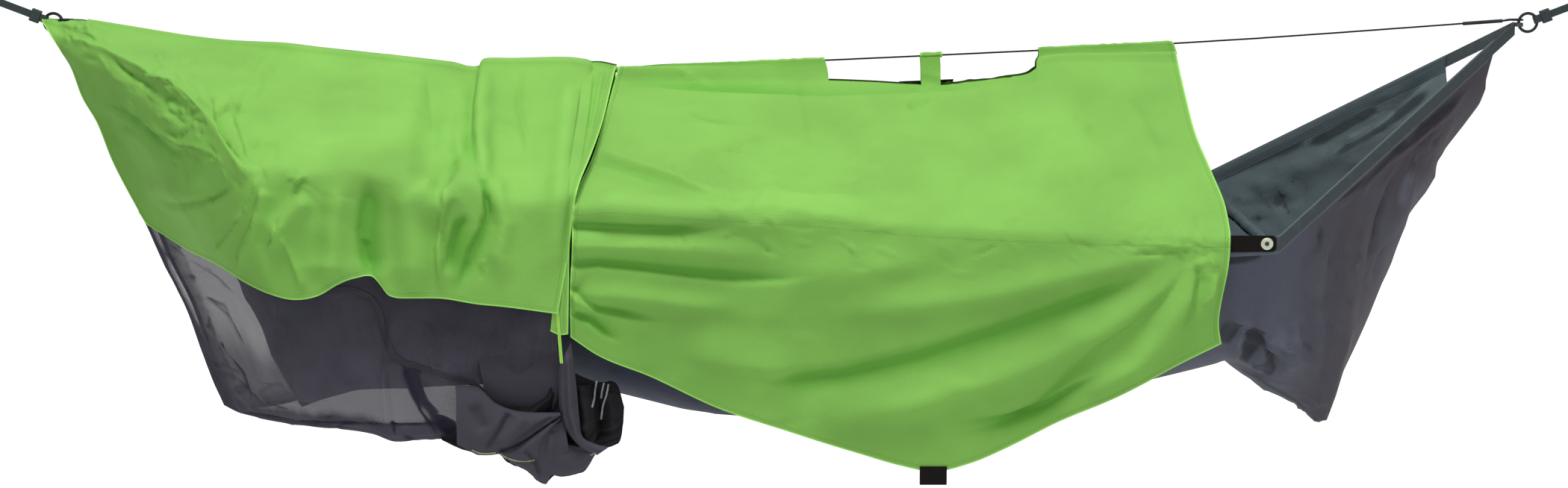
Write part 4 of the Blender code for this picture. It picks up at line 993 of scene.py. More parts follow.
COVER_LEFT_SIDE = [
    (0, 62, 29), (1, 63, 40), (1.15, 77, 62), (1.3, 95, 90), (1.45, 110, 130), (1.6, 130, 165),
    (1.78, 150, 215), (1.88, 165, 245), (2, 195, 300),
]
COVER_RIGHT_SIDE = [
    (0, 796, 93), (0.3, 790, 150), (0.6, 783, 203), (1, 772, 256), (1.4, 764, 318), (1.7, 757, 366),
    (2, 747, 421),
]
COVER_STATIONS = (0.0, 0.42, 0.80, 1.0)
COVER_LINES = (
    (COVER_RIDGE, (62, 400, 646, 796)),
    (COVER_FOLD, (63, 350, 636, 768)),
    (COVER_HEM, (195, 400, 620, 747)),
)
COVER_ACROSS = (62, 380, 640, 790)
COVER_DOWN = (165, 170)
# How far out the cover is at its ridge, at the left end of its hem, and along its hem from a share on.
COVER_RIDGE_OUT = 0.0075
COVER_TIP_OUT = 0.035
COVER_HEM_OUT = 0.465
COVER_WIDE_FROM = 0.36
COVER_FREE_FROM = 1.7
COVER_INWARD = 0.018
# The rows, and the shares of its length, between which the cover's folds grow.
COVER_ROWS_GROWTH = (-0.10, 0.25)
COVER_SHARES_GROWTH = (-0.01, 0.04)
# The cover stands out further over the pole's tip, over this length, and round the bed's left bag.
TIP_RELIEF = 0.010
TIP_REACH = 0.16
COVER_BAG_CLEAR = 0.020
# The two panels of the cover meet this near the ridge's plane, this far above the drawn line and the sleeve.
RIDGE_SEAM = 0.0004
CROWN_RISE = 0.002
CROWN_CLEAR = 0.0012
# They meet from here on, clear of the ring that swings at the tip.
CROWN_START = -1.375
COVER_ROUNDING = 48
COVER_STROKES = [
    # The fold of the bundle: its right part lies over its left part.
    ("step", -0.014, 4, (0.02, 0.5),
     [(641, 84), (637, 115), (633, 150), (632, 178), (640, 215), (652, 245), (660, 290)]),
    ("ridge", 0.009, 12, (0.05, 0.4), [(650, 90), (645, 140), (641, 180), (650, 225), (662, 262)]),
    ("ridge", 0.010, 16, (0.1, 0.4), [(764, 100), (757, 180), (748, 260), (742, 330), (736, 400)]),
    ("sharp", -0.008, 9, (0.2, 0.4), [(783, 100), (777, 180), (768, 250), (756, 330), (748, 400)]),
    ("crease", -0.006, 9, (0.1, 0.5), [(700, 90), (694, 140), (706, 190), (700, 240)]),
    ("ridge", 0.007, 18, (0.2, 0.4), [(640, 150), (660, 165), (690, 185), (705, 215), (700, 245)]),
    ("sharp", -0.012, 13, (0.1, 0.4),
     [(650, 250), (654, 285), (645, 310), (630, 340), (618, 375), (612, 398)]),
    ("ridge", 0.012, 15, (0.2, 0.3), [(670, 230), (664, 262), (676, 300), (668, 340), (676, 385)]),
    ("crease", -0.004, 7, (0.2, 0.5), [(652, 236), (655, 262), (653, 290), (640, 300), (628, 292)]),
    # Tall folds beside it, which hang from the bed's edge.
    ("sharp", 0.013, 14, (0.3, 0.3),
     [(612, 225), (606, 250), (594, 290), (588, 330), (590, 375), (596, 398)]),
    ("ridge", 0.014, 17, (0.3, 0.3),
     [(608, 248), (600, 262), (588, 276), (578, 272), (566, 252), (556, 236)]),
    ("crease", -0.010, 9, (0.2, 0.4), [(612, 262), (600, 284), (592, 310), (600, 350)]),
    ("sharp", -0.012, 14, (0.2, 0.3), [(628, 285), (612, 300), (604, 330), (596, 372)]),
    ("ridge", 0.016, 22, (0.25, 0.25), [(545, 232), (548, 280), (552, 330), (556, 395)]),
    ("sharp", -0.013, 24, (0.35, 0.2), [(496, 232), (492, 270), (486, 310), (490, 345), (503, 376)]),
    ("ridge", 0.014, 18, (0.3, 0.2), [(470, 232), (452, 262), (448, 300), (446, 340), (440, 385)]),
    ("crease", 0.008, 6, (0.1, 0.2), [(375, 315), (388, 340), (398, 365), (407, 392)]),
    ("sharp", 0.012, 11, (0.2, 0.3),
     [(415, 232), (400, 240), (392, 262), (378, 290), (366, 320), (352, 342)]),
    ("sharp", -0.012, 10, (0.2, 0.4), [(412, 236), (398, 250), (386, 275), (372, 300), (366, 330)]),
    ("ridge", 0.010, 13, (0.2, 0.3), [(416, 262), (394, 282), (372, 306), (368, 335)]),
    # The roof, pulled from the pole's tip towards the ridge.
    ("ridge", 0.007, 15, (0.2, 0.4), [(345, 226), (380, 205), (430, 196), (490, 200), (560, 205)]),
    ("sharp", -0.005, 9, (0.2, 0.4), [(350, 222), (372, 210), (400, 203), (440, 206)]),
    ("ridge", 0.006, 20, (0.3, 0.4), [(560, 85), (556, 130), (540, 180), (536, 216)]),
    ("crease", -0.005, 10, (0.3, 0.4), [(570, 84), (576, 130), (582, 180), (575, 220)]),
    ("ridge", 0.008, 22, (0.3, 0.3), [(620, 95), (612, 140), (598, 190), (590, 225)]),
    ("sharp", -0.007, 16, (0.3, 0.3), [(632, 170), (622, 200), (600, 222), (585, 212)]),
    ("ridge", 0.005, 12, (0.2, 0.4), [(367, 62), (356, 84), (340, 108), (310, 134)]),
    ("crease", -0.003, 6, (0.2, 0.4), [(355, 66), (340, 90), (322, 112), (290, 128)]),
    ("crease", -0.003, 5, (0.2, 0.4), [(400, 66), (396, 72), (372, 80), (330, 78), (290, 60)]),
    # The sharp bends over the bridle, and the dents of the end under it.
    ("crease", 0.006, 5, (0.1, 0.1), [(90, 50), (120, 60), (150, 72), (190, 92), (230, 112)]),
    ("sharp", 0.006, 6, (0.2, 0.3), [(150, 72), (170, 92), (196, 104), (222, 108), (256, 112)]),
    ("crease", -0.006, 5, (0.2, 0.3), [(152, 78), (176, 100), (206, 120), (216, 128)]),
    ("ridge", -0.006, 14, (0.2, 0.3),
     [(222, 118), (226, 136), (240, 148), (252, 150), (262, 142), (274, 128)]),
    ("crease", 0.005, 5, (0.3, 0.3), [(216, 126), (230, 144), (246, 150), (258, 143), (266, 132)]),
    ("sharp", 0.009, 9, (0.1, 0.3), [(262, 128), (276, 140), (290, 152), (306, 140), (326, 150)]),
    ("sharp", -0.009, 9, (0.1, 0.4), [(284, 134), (292, 160), (304, 190), (322, 215), (342, 232)]),
    ("crease", -0.006, 6, (0.2, 0.3), [(316, 150), (324, 178), (330, 205), (344, 226)]),
    ("ridge", 0.008, 10, (0.2, 0.4), [(300, 150), (312, 178), (322, 204), (340, 222)]),
    # Wrinkles of the end panel.
    ("ridge", 0.010, 16, (0.1, 0.4), [(80, 62), (98, 84), (118, 120), (138, 160)]),
    ("crease", 0.005, 5, (0.2, 0.5), [(138, 142), (155, 150), (180, 172)]),
    ("crease", -0.005, 6, (0.2, 0.4), [(142, 140), (165, 148), (190, 168), (215, 190), (245, 215)]),
    ("sharp", 0.006, 7, (0.3, 0.3), [(190, 165), (216, 180), (240, 196), (262, 198), (290, 208)]),
    ("crease", 0.004, 5, (0.3, 0.3), [(205, 152), (228, 160), (252, 150)]),
    ("crease", -0.004, 5, (0.3, 0.3), [(258, 168), (240, 184), (214, 176)]),
    ("ridge", 0.007, 18, (0.3, 0.3), [(185, 240), (215, 255), (250, 262), (290, 258)]),
    ("sharp", -0.007, 12, (0.3, 0.3), [(200, 268), (240, 275), (280, 268), (318, 246)]),
    ("crease", 0.006, 6, (0.1, 0.2), [(345, 236), (338, 262), (325, 290), (303, 320), (280, 345)]),
    ("sharp", 0.008, 10, (0.1, 0.3), [(352, 250), (346, 280), (338, 310), (322, 345), (316, 372)]),
]
# Painted shade and painted light, in strokes like the folds, which only change the cover's colour.
COVER_PAINTED_SHADING = [
    ("ridge", -0.005, 26, (0.2, 0.3), [(520, 120), (560, 160), (590, 200)]),
    ("ridge", -0.006, 12, (0.2, 0.3), [(672, 300), (664, 340), (660, 380)]),
    ("ridge", 0.006, 14, (0.2, 0.3), [(690, 290), (700, 340), (706, 390)]),
    ("ridge", -0.003, 14, (0.2, 0.3), [(250, 150), (300, 190), (330, 226)]),
    ("ridge", -0.006, 10, (0.2, 0.3), [(210, 170), (250, 186), (300, 206)]),
    ("ridge", 0.007, 10, (0.2, 0.3), [(345, 246), (334, 282), (314, 318), (290, 345)]),
    ("ridge", -0.005, 10, (0.2, 0.3), [(362, 246), (352, 290), (334, 340)]),
    ("step", -0.009, 32, (0.35, 0.1), [(506, 226), (508, 300), (508, 340), (512, 374), (520, 398)]),
    ("step", -0.011, 18, (0.1, 0.1), [(420, 238), (398, 260), (374, 300), (362, 338)]),
    ("step", -0.009, 18, (0.2, 0.2), [(590, 376), (588, 320), (594, 280), (606, 252), (616, 238)]),
    ("ridge", -0.014, 7, (0.1, 0.3), [(646, 236), (652, 260), (652, 290)]),
    ("ridge", -0.006, 30, (0.2, 0.2), [(120, 110), (200, 190), (300, 250)]),
    ("ridge", -0.007, 12, (0.2, 0.2), [(632, 300), (620, 340), (604, 396)]),
    ("ridge", -0.005, 24, (0.3, 0.3), [(660, 120), (666, 165), (670, 215)]),
    ("ridge", 0.007, 22, (0.2, 0.1), [(722, 250), (728, 320), (732, 396)]),
    ("ridge", 0.005, 26, (0.3, 0.3), [(500, 150), (505, 190), (510, 222)]),
]
COVER_SEED = 21
COVER_CRINKLES = dict(count=260, height=0.0032, length=26, turn=26, spots=[
    (120, 50, 34, 40, 1.0),
    (190, 95, 46, 30, 1.4),
    (240, 120, 40, 20, 1.2),
    (310, 150, 44, 60, 1.4),
    (330, 200, 34, 70, 1.2),
    (250, 200, 60, 30, 1.2),
    (160, 160, 50, 40, 0.7),
    (350, 100, 60, 130, 0.9),
    (380, 190, 46, 160, 0.9),
    (95, 35, 22, 10, 0.9),
    (480, 70, 90, 6, 0.4),
    (640, 320, 50, 80, 0.3),
])
COVER_SIDES = (("front", 1.3), ("rear", 1.3 * 0.85, 1.1, -9))


def hang_depth(t, out_low):
    """How far out the cover hangs: near the cord, over the bed's edge, then down beside the bed."""
    def depth(x, z):
        edge = BED_HALF_WIDTH * edge_share(x) + EDGE_OUT
        edge = edge + TIP_RELIEF * rise(abs(x - POLE_LEFT[0]), TIP_REACH, 0)
        roof = COVER_RIDGE_OUT + (edge - COVER_RIDGE_OUT) * t
        fall = edge + (out_low - edge) * rise(t, 1, 2)
        margin = BED_CLEAR + COVER_BAG_CLEAR * rise(x, *BAG_ZONE)
        return np.where(t <= 1, roof, np.maximum(fall, bed_width_at(x, z) + margin))
    return depth


def make_cover(finish):
    columns, rows, pixels, s, t = laid_out(
        COVER_LINES, COVER_STATIONS, COVER_ACROSS, COVER_DOWN, COVER_LEFT_SIDE, COVER_RIGHT_SIDE)
    low = COVER_TIP_OUT + (COVER_HEM_OUT - COVER_TIP_OUT) * rise(s, 0, COVER_WIDE_FROM)
    calm = rise(t, *COVER_ROWS_GROWTH) * rise(s, *COVER_SHARES_GROWTH)
    inward = np.where(t < COVER_FREE_FROM, ROOF_INWARD, COVER_INWARD)
    depth = hang_depth(t, low)
    both = on_both_sides(pixels, COVER_SEED, COVER_CRINKLES, COVER_STROKES, COVER_SIDES)
    for end, turn, soft, strokes in both:
        grid, fold = drape(pixels, depth, strokes, soft, calm, inward, COVER_PAINTED_SHADING, COVER_ROUNDING)
        crown = grid[0].copy()
        crown[:, 1] = -RIDGE_SEAM
        over = ridge_height(crown[:, 0]) + SLEEVE_RADIUS + CROWN_CLEAR
        crown[:, 2] = np.maximum(crown[:, 2] + CROWN_RISE, over)
        grid, fold = np.concatenate([crown[None], grid]) * turn, np.concatenate([fold[:1], fold])
        keep = np.ones((len(rows), len(columns) - 1), bool)
        keep[0] = crown[1:, 0] > CROWN_START
        hems = edge_run(grid, ("low", "right", "left"))
        piece = thin_mesh("cover_%s_cloth" % end, grid, finish, keep, hems, fold=fold)
        yield piece


# The second fold of the cover's bundle, from under its first fold to the fly.
FOLD_TOP = [(0, 783, 84), (0.5, 801, 83.5), (1, 825, 88)]
FOLD_MIDDLE = [(0, 757, 256), (1, 773, 256)]
FOLD_LOW = [(0, 737, 444), (0.5, 749, 449), (1, 759, 448)]
FOLD_LEFT_SIDE = [
    (0, 783, 84), (0.35, 775, 145), (0.7, 766, 203), (1, 757, 256), (1.5, 748, 340), (2, 737, 444),
]
FOLD_RIGHT_SIDE = [
    (0, 825, 88), (0.12, 819.5, 112), (0.4, 806.5, 165), (0.66, 792.5, 205), (1, 773, 256),
    (1.35, 764, 318), (1.7, 762, 380), (2, 761, 448),
]
FOLD_STROKES = [
    ("sharp", 0.007, 6, (0.1, 0.3), [(808, 88), (800, 130), (790, 180), (780, 225)]),
    ("sharp", -0.006, 5, (0.1, 0.3), [(797, 95), (793, 140), (786, 190), (777, 235)]),
    ("ridge", 0.005, 5, (0.2, 0.3), [(768, 262), (762, 310), (756, 370), (752, 440)]),
]
FOLD_COLUMNS = 22
FOLD_ROWS = (60, 66)
FOLD_UNDER = 0.0045
FOLD_INWARD = 0.006
FOLD_GROWTH = (-0.02, 0.08)
# The bright binding that hangs on below the first fold.
BINDING = [(745.5, 408), (747, 425), (749, 450), (752, 487)]
BINDING_HALF = 2.2
BINDING_OUT = 0.462
BINDING_POINTS = 30


def make_bundle(finish, binding_finish):
    """The cover's second fold beside the fly, and the end of its binding."""
    columns, rows = np.linspace(0, 1, FOLD_COLUMNS), stepped((0, 1, 2), FOLD_ROWS)
    curves = [FOLD_TOP, FOLD_MIDDLE, FOLD_LOW]
    pixels, _, t = patchwork(curves, columns, rows, FOLD_LEFT_SIDE, FOLD_RIGHT_SIDE, 1.0)
    knots = [(i / (len(BINDING) - 1), x, y) for i, (x, y) in enumerate(BINDING)]
    line = track(knots, np.linspace(0, 1, BINDING_POINTS))
    strip = seen(np.stack([line + (way * BINDING_HALF, 0) for way in (-1, 0, 1)]), -BINDING_OUT)
    around = hang_depth(t, COVER_HEM_OUT)
    calm = rise(t, *FOLD_GROWTH)
    cloth, fold = drape(pixels, lambda x, z: around(x, z) - FOLD_UNDER, FOLD_STROKES, 0.0, calm, FOLD_INWARD)
    for end, turn in TURNS.items():
        grid, ribbon = cloth * turn, strip * turn
        hems = edge_run(grid, ("right", "low"))
        piece = thin_mesh("cover_%s_fold" % end, grid, finish, None, hems, fold=fold)
        hems = edge_run(ribbon, ("top", "low"))
        trim = thin_mesh("cover_%s_binding" % end, ribbon, binding_finish, None, hems)
        yield piece, trim


# The bed's outline at the right of the photo, from its ring down round its bag to the fly's hem.
BAG_OUTLINE = [
    (1987, 104), (1984, 131), (1978, 142), (1955, 170), (1930, 199), (1912, 230), (1900, 256), (1884, 274),
    (1875, 284), (1866, 298), (1862, 312), (1858, 332), (1855, 350), (1848, 367), (1839, 384), (1830, 405),
    (1821, 427), (1811, 449), (1801, 470), (1791, 490), (1782, 509), (1776, 528), (1770, 548), (1763, 561),
    (1755, 557), (1747, 552), (1732, 539), (1710, 526), (1684, 514), (1653, 491), (1630, 474),
]
BED_STROKES = [
    # The right bag's outer face: sharp folds under its band, the twist of its lower tip.
    ("sharp", 0.010, 12, (0.2, 0.3),
     [(1978, 107), (1945, 140), (1921, 161), (1896, 184), (1867, 207), (1800, 262), (1745, 302)]),
    ("crease", -0.007, 6, (0.2, 0.3), [(1950, 150), (1905, 192), (1860, 226), (1790, 284), (1740, 320)]),
    ("ridge", 0.010, 14, (0.2, 0.3), [(1921, 214), (1904, 240), (1883, 268), (1867, 298), (1856, 340)]),
    ("sharp", -0.009, 12, (0.2, 0.4), [(1880, 215), (1862, 250), (1846, 290), (1836, 340), (1826, 390)]),
    ("ridge", 0.009, 16, (0.3, 0.3), [(1850, 240), (1822, 290), (1806, 350), (1798, 410), (1780, 480)]),
    ("sharp", 0.010, 13, (0.3, 0.3), [(1800, 275), (1772, 330), (1762, 390), (1760, 450), (1764, 520)]),
    ("crease", -0.008, 8, (0.3, 0.3), [(1815, 270), (1786, 320), (1776, 380), (1778, 450), (1772, 520)]),
    ("sharp", -0.009, 12, (0.3, 0.4), [(1760, 300), (1742, 350), (1738, 400), (1742, 450), (1750, 510)]),
    ("ridge", 0.009, 12, (0.3, 0.3), [(1718, 332), (1728, 372), (1735, 420), (1740, 470), (1745, 525)]),
    ("ridge", 0.008, 12, (0.3, 0.3), [(1700, 345), (1702, 390), (1712, 440), (1722, 490), (1730, 525)]),
    ("sharp", -0.008, 8, (0.2, 0.3), [(1650, 345), (1668, 352), (1686, 345), (1700, 340)]),
    ("sharp", 0.012, 11, (0.2, 0.3), [(1637, 440), (1656, 428), (1680, 430), (1702, 450), (1712, 480)]),
    ("sharp", -0.012, 9, (0.2, 0.3), [(1640, 462), (1660, 446), (1682, 452), (1700, 478), (1706, 506)]),
    ("ridge", 0.010, 9, (0.2, 0.3), [(1640, 480), (1662, 470), (1678, 482), (1690, 502)]),
    ("crease", -0.008, 6, (0.2, 0.3), [(1655, 480), (1672, 468), (1694, 470), (1712, 500)]),
    # Inside the far end, between the two bands.
    ("crease", 0.007, 8, (0.2, 0.3), [(1745, 187), (1790, 158), (1837, 134), (1863, 126), (1905, 108)]),
    ("sharp", -0.008, 9, (0.2, 0.3), [(1783, 208), (1815, 190), (1844, 168), (1898, 118), (1930, 95)]),
    ("ridge", 0.008, 14, (0.2, 0.3), [(1700, 235), (1750, 222), (1810, 200), (1870, 150)]),
    ("crease", -0.006, 7, (0.3, 0.3), [(1660, 245), (1690, 262), (1730, 268), (1770, 255)]),
    # The left bag, seen through the net.
    ("sharp", 0.012, 14, (0.2, 0.3), [(318, 375), (335, 413), (360, 441), (368, 470), (380, 505)]),
    ("sharp", -0.012, 14, (0.2, 0.3), [(345, 350), (362, 400), (384, 440), (392, 480), (402, 530)]),
    ("ridge", 0.012, 18, (0.2, 0.3), [(390, 380), (400, 430), (420, 480), (440, 515)]),
    ("sharp", -0.010, 14, (0.3, 0.3), [(440, 380), (450, 430), (470, 480), (486, 512)]),
    ("ridge", 0.010, 18, (0.3, 0.3), [(500, 400), (510, 450), (540, 490), (580, 515)]),
    # Long folds of the underside between the bags.
    ("ridge", 0.008, 16, (0.2, 0.3), [(800, 495), (850, 512), (900, 528), (960, 545)]),
]
# Painted shade and painted light, in strokes like the folds, which only change the bed's colour.
BED_PAINTED_SHADING = [
    # The crumpled knots of the right bag and the twist of its lower edge.
    ("ridge", -0.024, 10, (0.2, 0.2), [(1634, 462), (1646, 440), (1662, 428)]),
    ("ridge", -0.026, 10, (0.2, 0.2), [(1664, 490), (1672, 462), (1690, 440), (1700, 452)]),
    ("ridge", -0.024, 8, (0.2, 0.2), [(1676, 486), (1692, 490), (1706, 502)]),
    ("ridge", 0.020, 4, (0.2, 0.2), [(1656, 470), (1666, 448), (1682, 436)]),
    ("crease", -0.020, 3, (0.1, 0.2), [(1657, 492), (1676, 503), (1700, 517), (1740, 540), (1762, 562)]),
    ("ridge", -0.010, 7, (0.2, 0.2), [(1729, 456), (1748, 462), (1762, 474)]),
    ("step", -0.006, 9, (0.2, 0.2), [(1764, 530), (1762, 474), (1756, 440)]),
    # Under the front band, and its streaks down the bag.
    ("ridge", -0.020, 5, (0.2, 0.2), [(1772, 284), (1820, 250), (1875, 198), (1937, 146), (1976, 106)]),
    ("ridge", 0.014, 3, (0.3, 0.3), [(1768, 296), (1820, 262), (1862, 226), (1890, 196)]),
    ("ridge", -0.012, 9, (0.2, 0.3), [(1950, 136), (1905, 182), (1868, 216)]),
    ("ridge", -0.010, 6, (0.2, 0.3), [(1769, 296), (1768, 330), (1762, 350)]),
    ("crease", -0.010, 5, (0.2, 0.3), [(1792, 320), (1788, 360), (1792, 400)]),
    ("ridge", 0.014, 6, (0.2, 0.3), [(1890, 226), (1879, 250), (1870, 280)]),
    ("ridge", 0.012, 6, (0.2, 0.3), [(1846, 340), (1836, 366), (1830, 392)]),
    ("ridge", -0.008, 14, (0.2, 0.3), [(1850, 250), (1832, 310), (1820, 380)]),
    ("ridge", -0.022, 7, (0.0, 0.3), [(1636, 346), (1662, 343), (1696, 338)]),
    # Inside the right end.
    ("ridge", -0.016, 5, (0.1, 0.1), [(1628, 242), (1668, 224), (1716, 203), (1756, 190)]),
    ("ridge", -0.024, 6, (0.2, 0.2), [(1745, 196), (1775, 184), (1812, 164), (1850, 142)]),
    ("ridge", -0.026, 6, (0.2, 0.2), [(1776, 218), (1812, 196), (1850, 172), (1884, 146), (1922, 116)]),
    ("ridge", 0.016, 6, (0.2, 0.2), [(1800, 190), (1836, 170), (1872, 148)]),
    ("ridge", -0.010, 6, (0.2, 0.2), [(1640, 262), (1668, 272), (1700, 270), (1740, 262)]),
    ("crease", -0.010, 4, (0.2, 0.2), [(1672, 300), (1700, 284), (1716, 262)]),
    ("crease", -0.009, 4, (0.2, 0.2), [(1648, 286), (1672, 290), (1690, 302)]),
    ("ridge", -0.014, 7, (0.0, 0.6), [(1640, 346), (1664, 343), (1692, 339)]),
]
BED_SEED = 31
BED_CRINKLES = dict(count=330, height=0.0048, length=30, turn=24, spots=[
    (1820, 330, 70, 105, 1.2),
    (1680, 465, 40, 40, 1.4),
    (1730, 420, 60, 80, 1.0),
    (1900, 190, 50, 140, 0.8),
    (1700, 270, 50, 10, 1.8),
    (1830, 170, 50, 150, 0.9),
    (380, 450, 60, 80, 0.8),
    (1760, 540, 24, 60, 0.8),
])
BED_ROWS = 120
BED_STEP = 0.0085
BED_OVERLAP = 0.012
BED_LEAST_DEPTH = 0.012
BED_FOLD_LIMIT = 0.026
CLOTH_GAP = 0.0022
# The pleats that fan out at both ends of the bed: their height, how many there are round its trough and how
# they lean, and the distances from the middle between which they grow and die away.
FAN_HEIGHT = 0.008
FAN_TURNS = 9
FAN_LEAN = 5.0
FAN_GROWTH = (0.60, 1.05)
FAN_END = (1.36, 1.26)
# How far the walls of the left bag are drawn in towards the bed's middle, and between which places.
LEFT_BAG_PINCH = 0.055
PINCH_RIGHT = (-0.90, -1.02)
PINCH_LEFT = (-1.34, -1.22)
# How much sooner the cloth ends at the rear than at the front, at its right end, and from where on.
REAR_END_CUT = 0.062
REAR_CUT_FROM = 1.20
# The bed's folds grow with the angle from its edge and the distance from its ends, and less soon round the
# tips of the poles.
EDGE_GROWTH = (0, 0.16)
END_GROWTH = (1.365, 1.335)
TIP_GROWTH = (0.05, 0.11)
BELOW_TIP_GROWTH = (0.30, 0.50)


def bag_floor():
    """The bed's floor line, with its right bag as the photo outlines it, as (x, z) from left to right."""
    spots = seen(np.array(BAG_OUTLINE, float), 0.0)
    right = [(x, z) for x, _, z in spots][::-1]
    return [p for p in BED_FLOOR if p[0] < right[0][0] - 0.02] + right + [BED_FLOOR[-1]]


def bed_surface():
    """The trough's grid of points, from its front edge round to its rear edge, with its folds."""
    start, stop = BED_FLOOR[0][0] - BED_OVERLAP, BED_FLOOR[-1][0] + BED_OVERLAP
    xs = np.linspace(start, stop, int((stop - start) / BED_STEP))
    a = np.linspace(0, math.pi, BED_ROWS + 1)[:, None] + 0 * xs
    x = xs - REAR_END_CUT * rise(a, 0, math.pi) * rise(xs, REAR_CUT_FROM, stop)
    top = edge_height(x)
    deep = np.maximum(top - table(bag_floor())(x), BED_LEAST_DEPTH)
    ends = rise(abs(x), *FAN_GROWTH) * rise(abs(x), *FAN_END)
    fan = FAN_HEIGHT * ends * np.sin(FAN_TURNS * a + FAN_LEAN * x) * np.sin(a) ** 0.7
    y = -BED_HALF_WIDTH * edge_share(x) * np.cos(a) * (1 + 0.10 * fan)
    z = top - deep * np.sin(a) ** BED_ROUNDNESS + fan * 0.8 * (1 - 0.6 * np.sin(a))
    pinch = LEFT_BAG_PINCH * rise(x, *PINCH_RIGHT) * rise(x, *PINCH_LEFT)
    x = x + pinch * 2 * np.sin(a) * abs(np.cos(a))
    grid = np.stack([x, y, z], axis=-1)
    inward = normals_of(grid)
    inward = np.where((inward[..., 2] < 0)[..., None], -inward, inward)
    pixels = on_photo(grid)
    fold = crinkles(pixels, BED_SEED, **BED_CRINKLES) + folds_on(pixels, BED_STROKES)
    edge = np.minimum(a, math.pi - a)
    near_tip = np.minimum(abs(x - POLE_LEFT[0]), abs(x - POLE_RIGHT[0]))
    calm = rise(edge, *EDGE_GROWTH) * rise(abs(x), *END_GROWTH)
    calm = calm * np.maximum(rise(near_tip, *TIP_GROWTH), rise(edge, *BELOW_TIP_GROWTH))
    fold = np.clip(fold, -BED_FOLD_LIMIT, BED_FOLD_LIMIT) * calm
    outer = np.where(a < math.pi / 2, -1.0, 1.0)
    return grid + inward * (fold * outer)[..., None], inward, fold + folds_on(pixels, BED_PAINTED_SHADING)


def make_bed(outer_finish, inner_finish):
    """One closed sheet with an outer and an inner face, sewn together round its border."""
    outside, inward, fold = bed_surface()
    points = np.stack([outside, outside + inward * CLOTH_GAP]).reshape(-1, 3)
    index = np.arange(fold.size).reshape(fold.shape)
    quads = quads_of(index).reshape(-1, 4)
    border = np.concatenate([index[0], index[1:, -1], index[-1, -2::-1], index[-2:0:-1, 0]])
    after = np.roll(border, -1)
    rim = np.stack([border, after, after + index.size, border + index.size], axis=-1)
    faces = np.concatenate([quads, quads[:, ::-1] + index.size, rim])
    hem = np.tile(edge_run(outside, ("low", "top")).reshape(-1, 2), (2, 1))
    finishes = [outer_finish, inner_finish]
    piece = as_piece("bed_cloth", points, faces, {"hem": hem}, np.tile(fold.reshape(-1), 2), finishes)
    faces_in = np.repeat([0, 1, 0], [len(quads), len(quads), len(rim)])
    piece.data.polygons.foreach_set("material_index", faces_in)
    piece.data.update()
    return piece


# The net, drawn over the photo: where it leaves the cover, its lower edge, its sides and its seam.
NET_TOP = [
    (185, 283), (225, 300), (262, 322), (300, 345), (340, 366), (380, 378), (430, 372), (470, 352),
    (500, 352), (540, 378), (600, 386), (660, 394), (747, 404),
]
NET_LOW = [
    (300, 543), (320, 553), (400, 570), (500, 582), (530, 592), (585, 588), (620, 592), (660, 590),
    (700, 575), (746, 552),
]
NET_LEFT_SIDE = [
    (0, 185, 283), (0.08, 195, 300), (0.2, 215, 345), (0.42, 248, 410), (0.66, 270, 470), (0.82, 285, 510),
    (1, 300, 543),
]
NET_RIGHT_SIDE = [(0, 747, 404), (0.4, 746, 460), (0.8, 747, 520), (1, 746, 552)]
NET_SEAM = [
    (420, 397), (440, 390), (462, 388), (480, 391), (495, 399), (506, 414), (512, 434), (519, 458),
    (528, 477), (541, 486), (557, 491), (591, 503), (636, 516), (654, 532), (664, 541), (675, 548),
    (698, 551), (743, 555),
]
NET_STATIONS = (0.0, 0.40, 0.72, 1.0)
NET_LINES = (
    (NET_TOP, (185, 400, 590, 747)),
    (NET_LOW, (300, 440, 600, 746)),
)
NET_ACROSS = (240, 420, 600, 746)
NET_DOWN = (250,)
# How far out the net's top and its hem are at the left end, how much further out elsewhere, and from which
# share of its length on.
NET_TOP_OUT = (0.030, 0.402, 0.36)
NET_LOW_OUT = (0.012, BED_HALF_WIDTH - 0.075, 0.42)
NET_CLEAR = 0.008
NET_BAG_CLEAR = 0.018
SEAM_HALF_WIDTH = 3.6
SEAM_LIFT = 0.0022
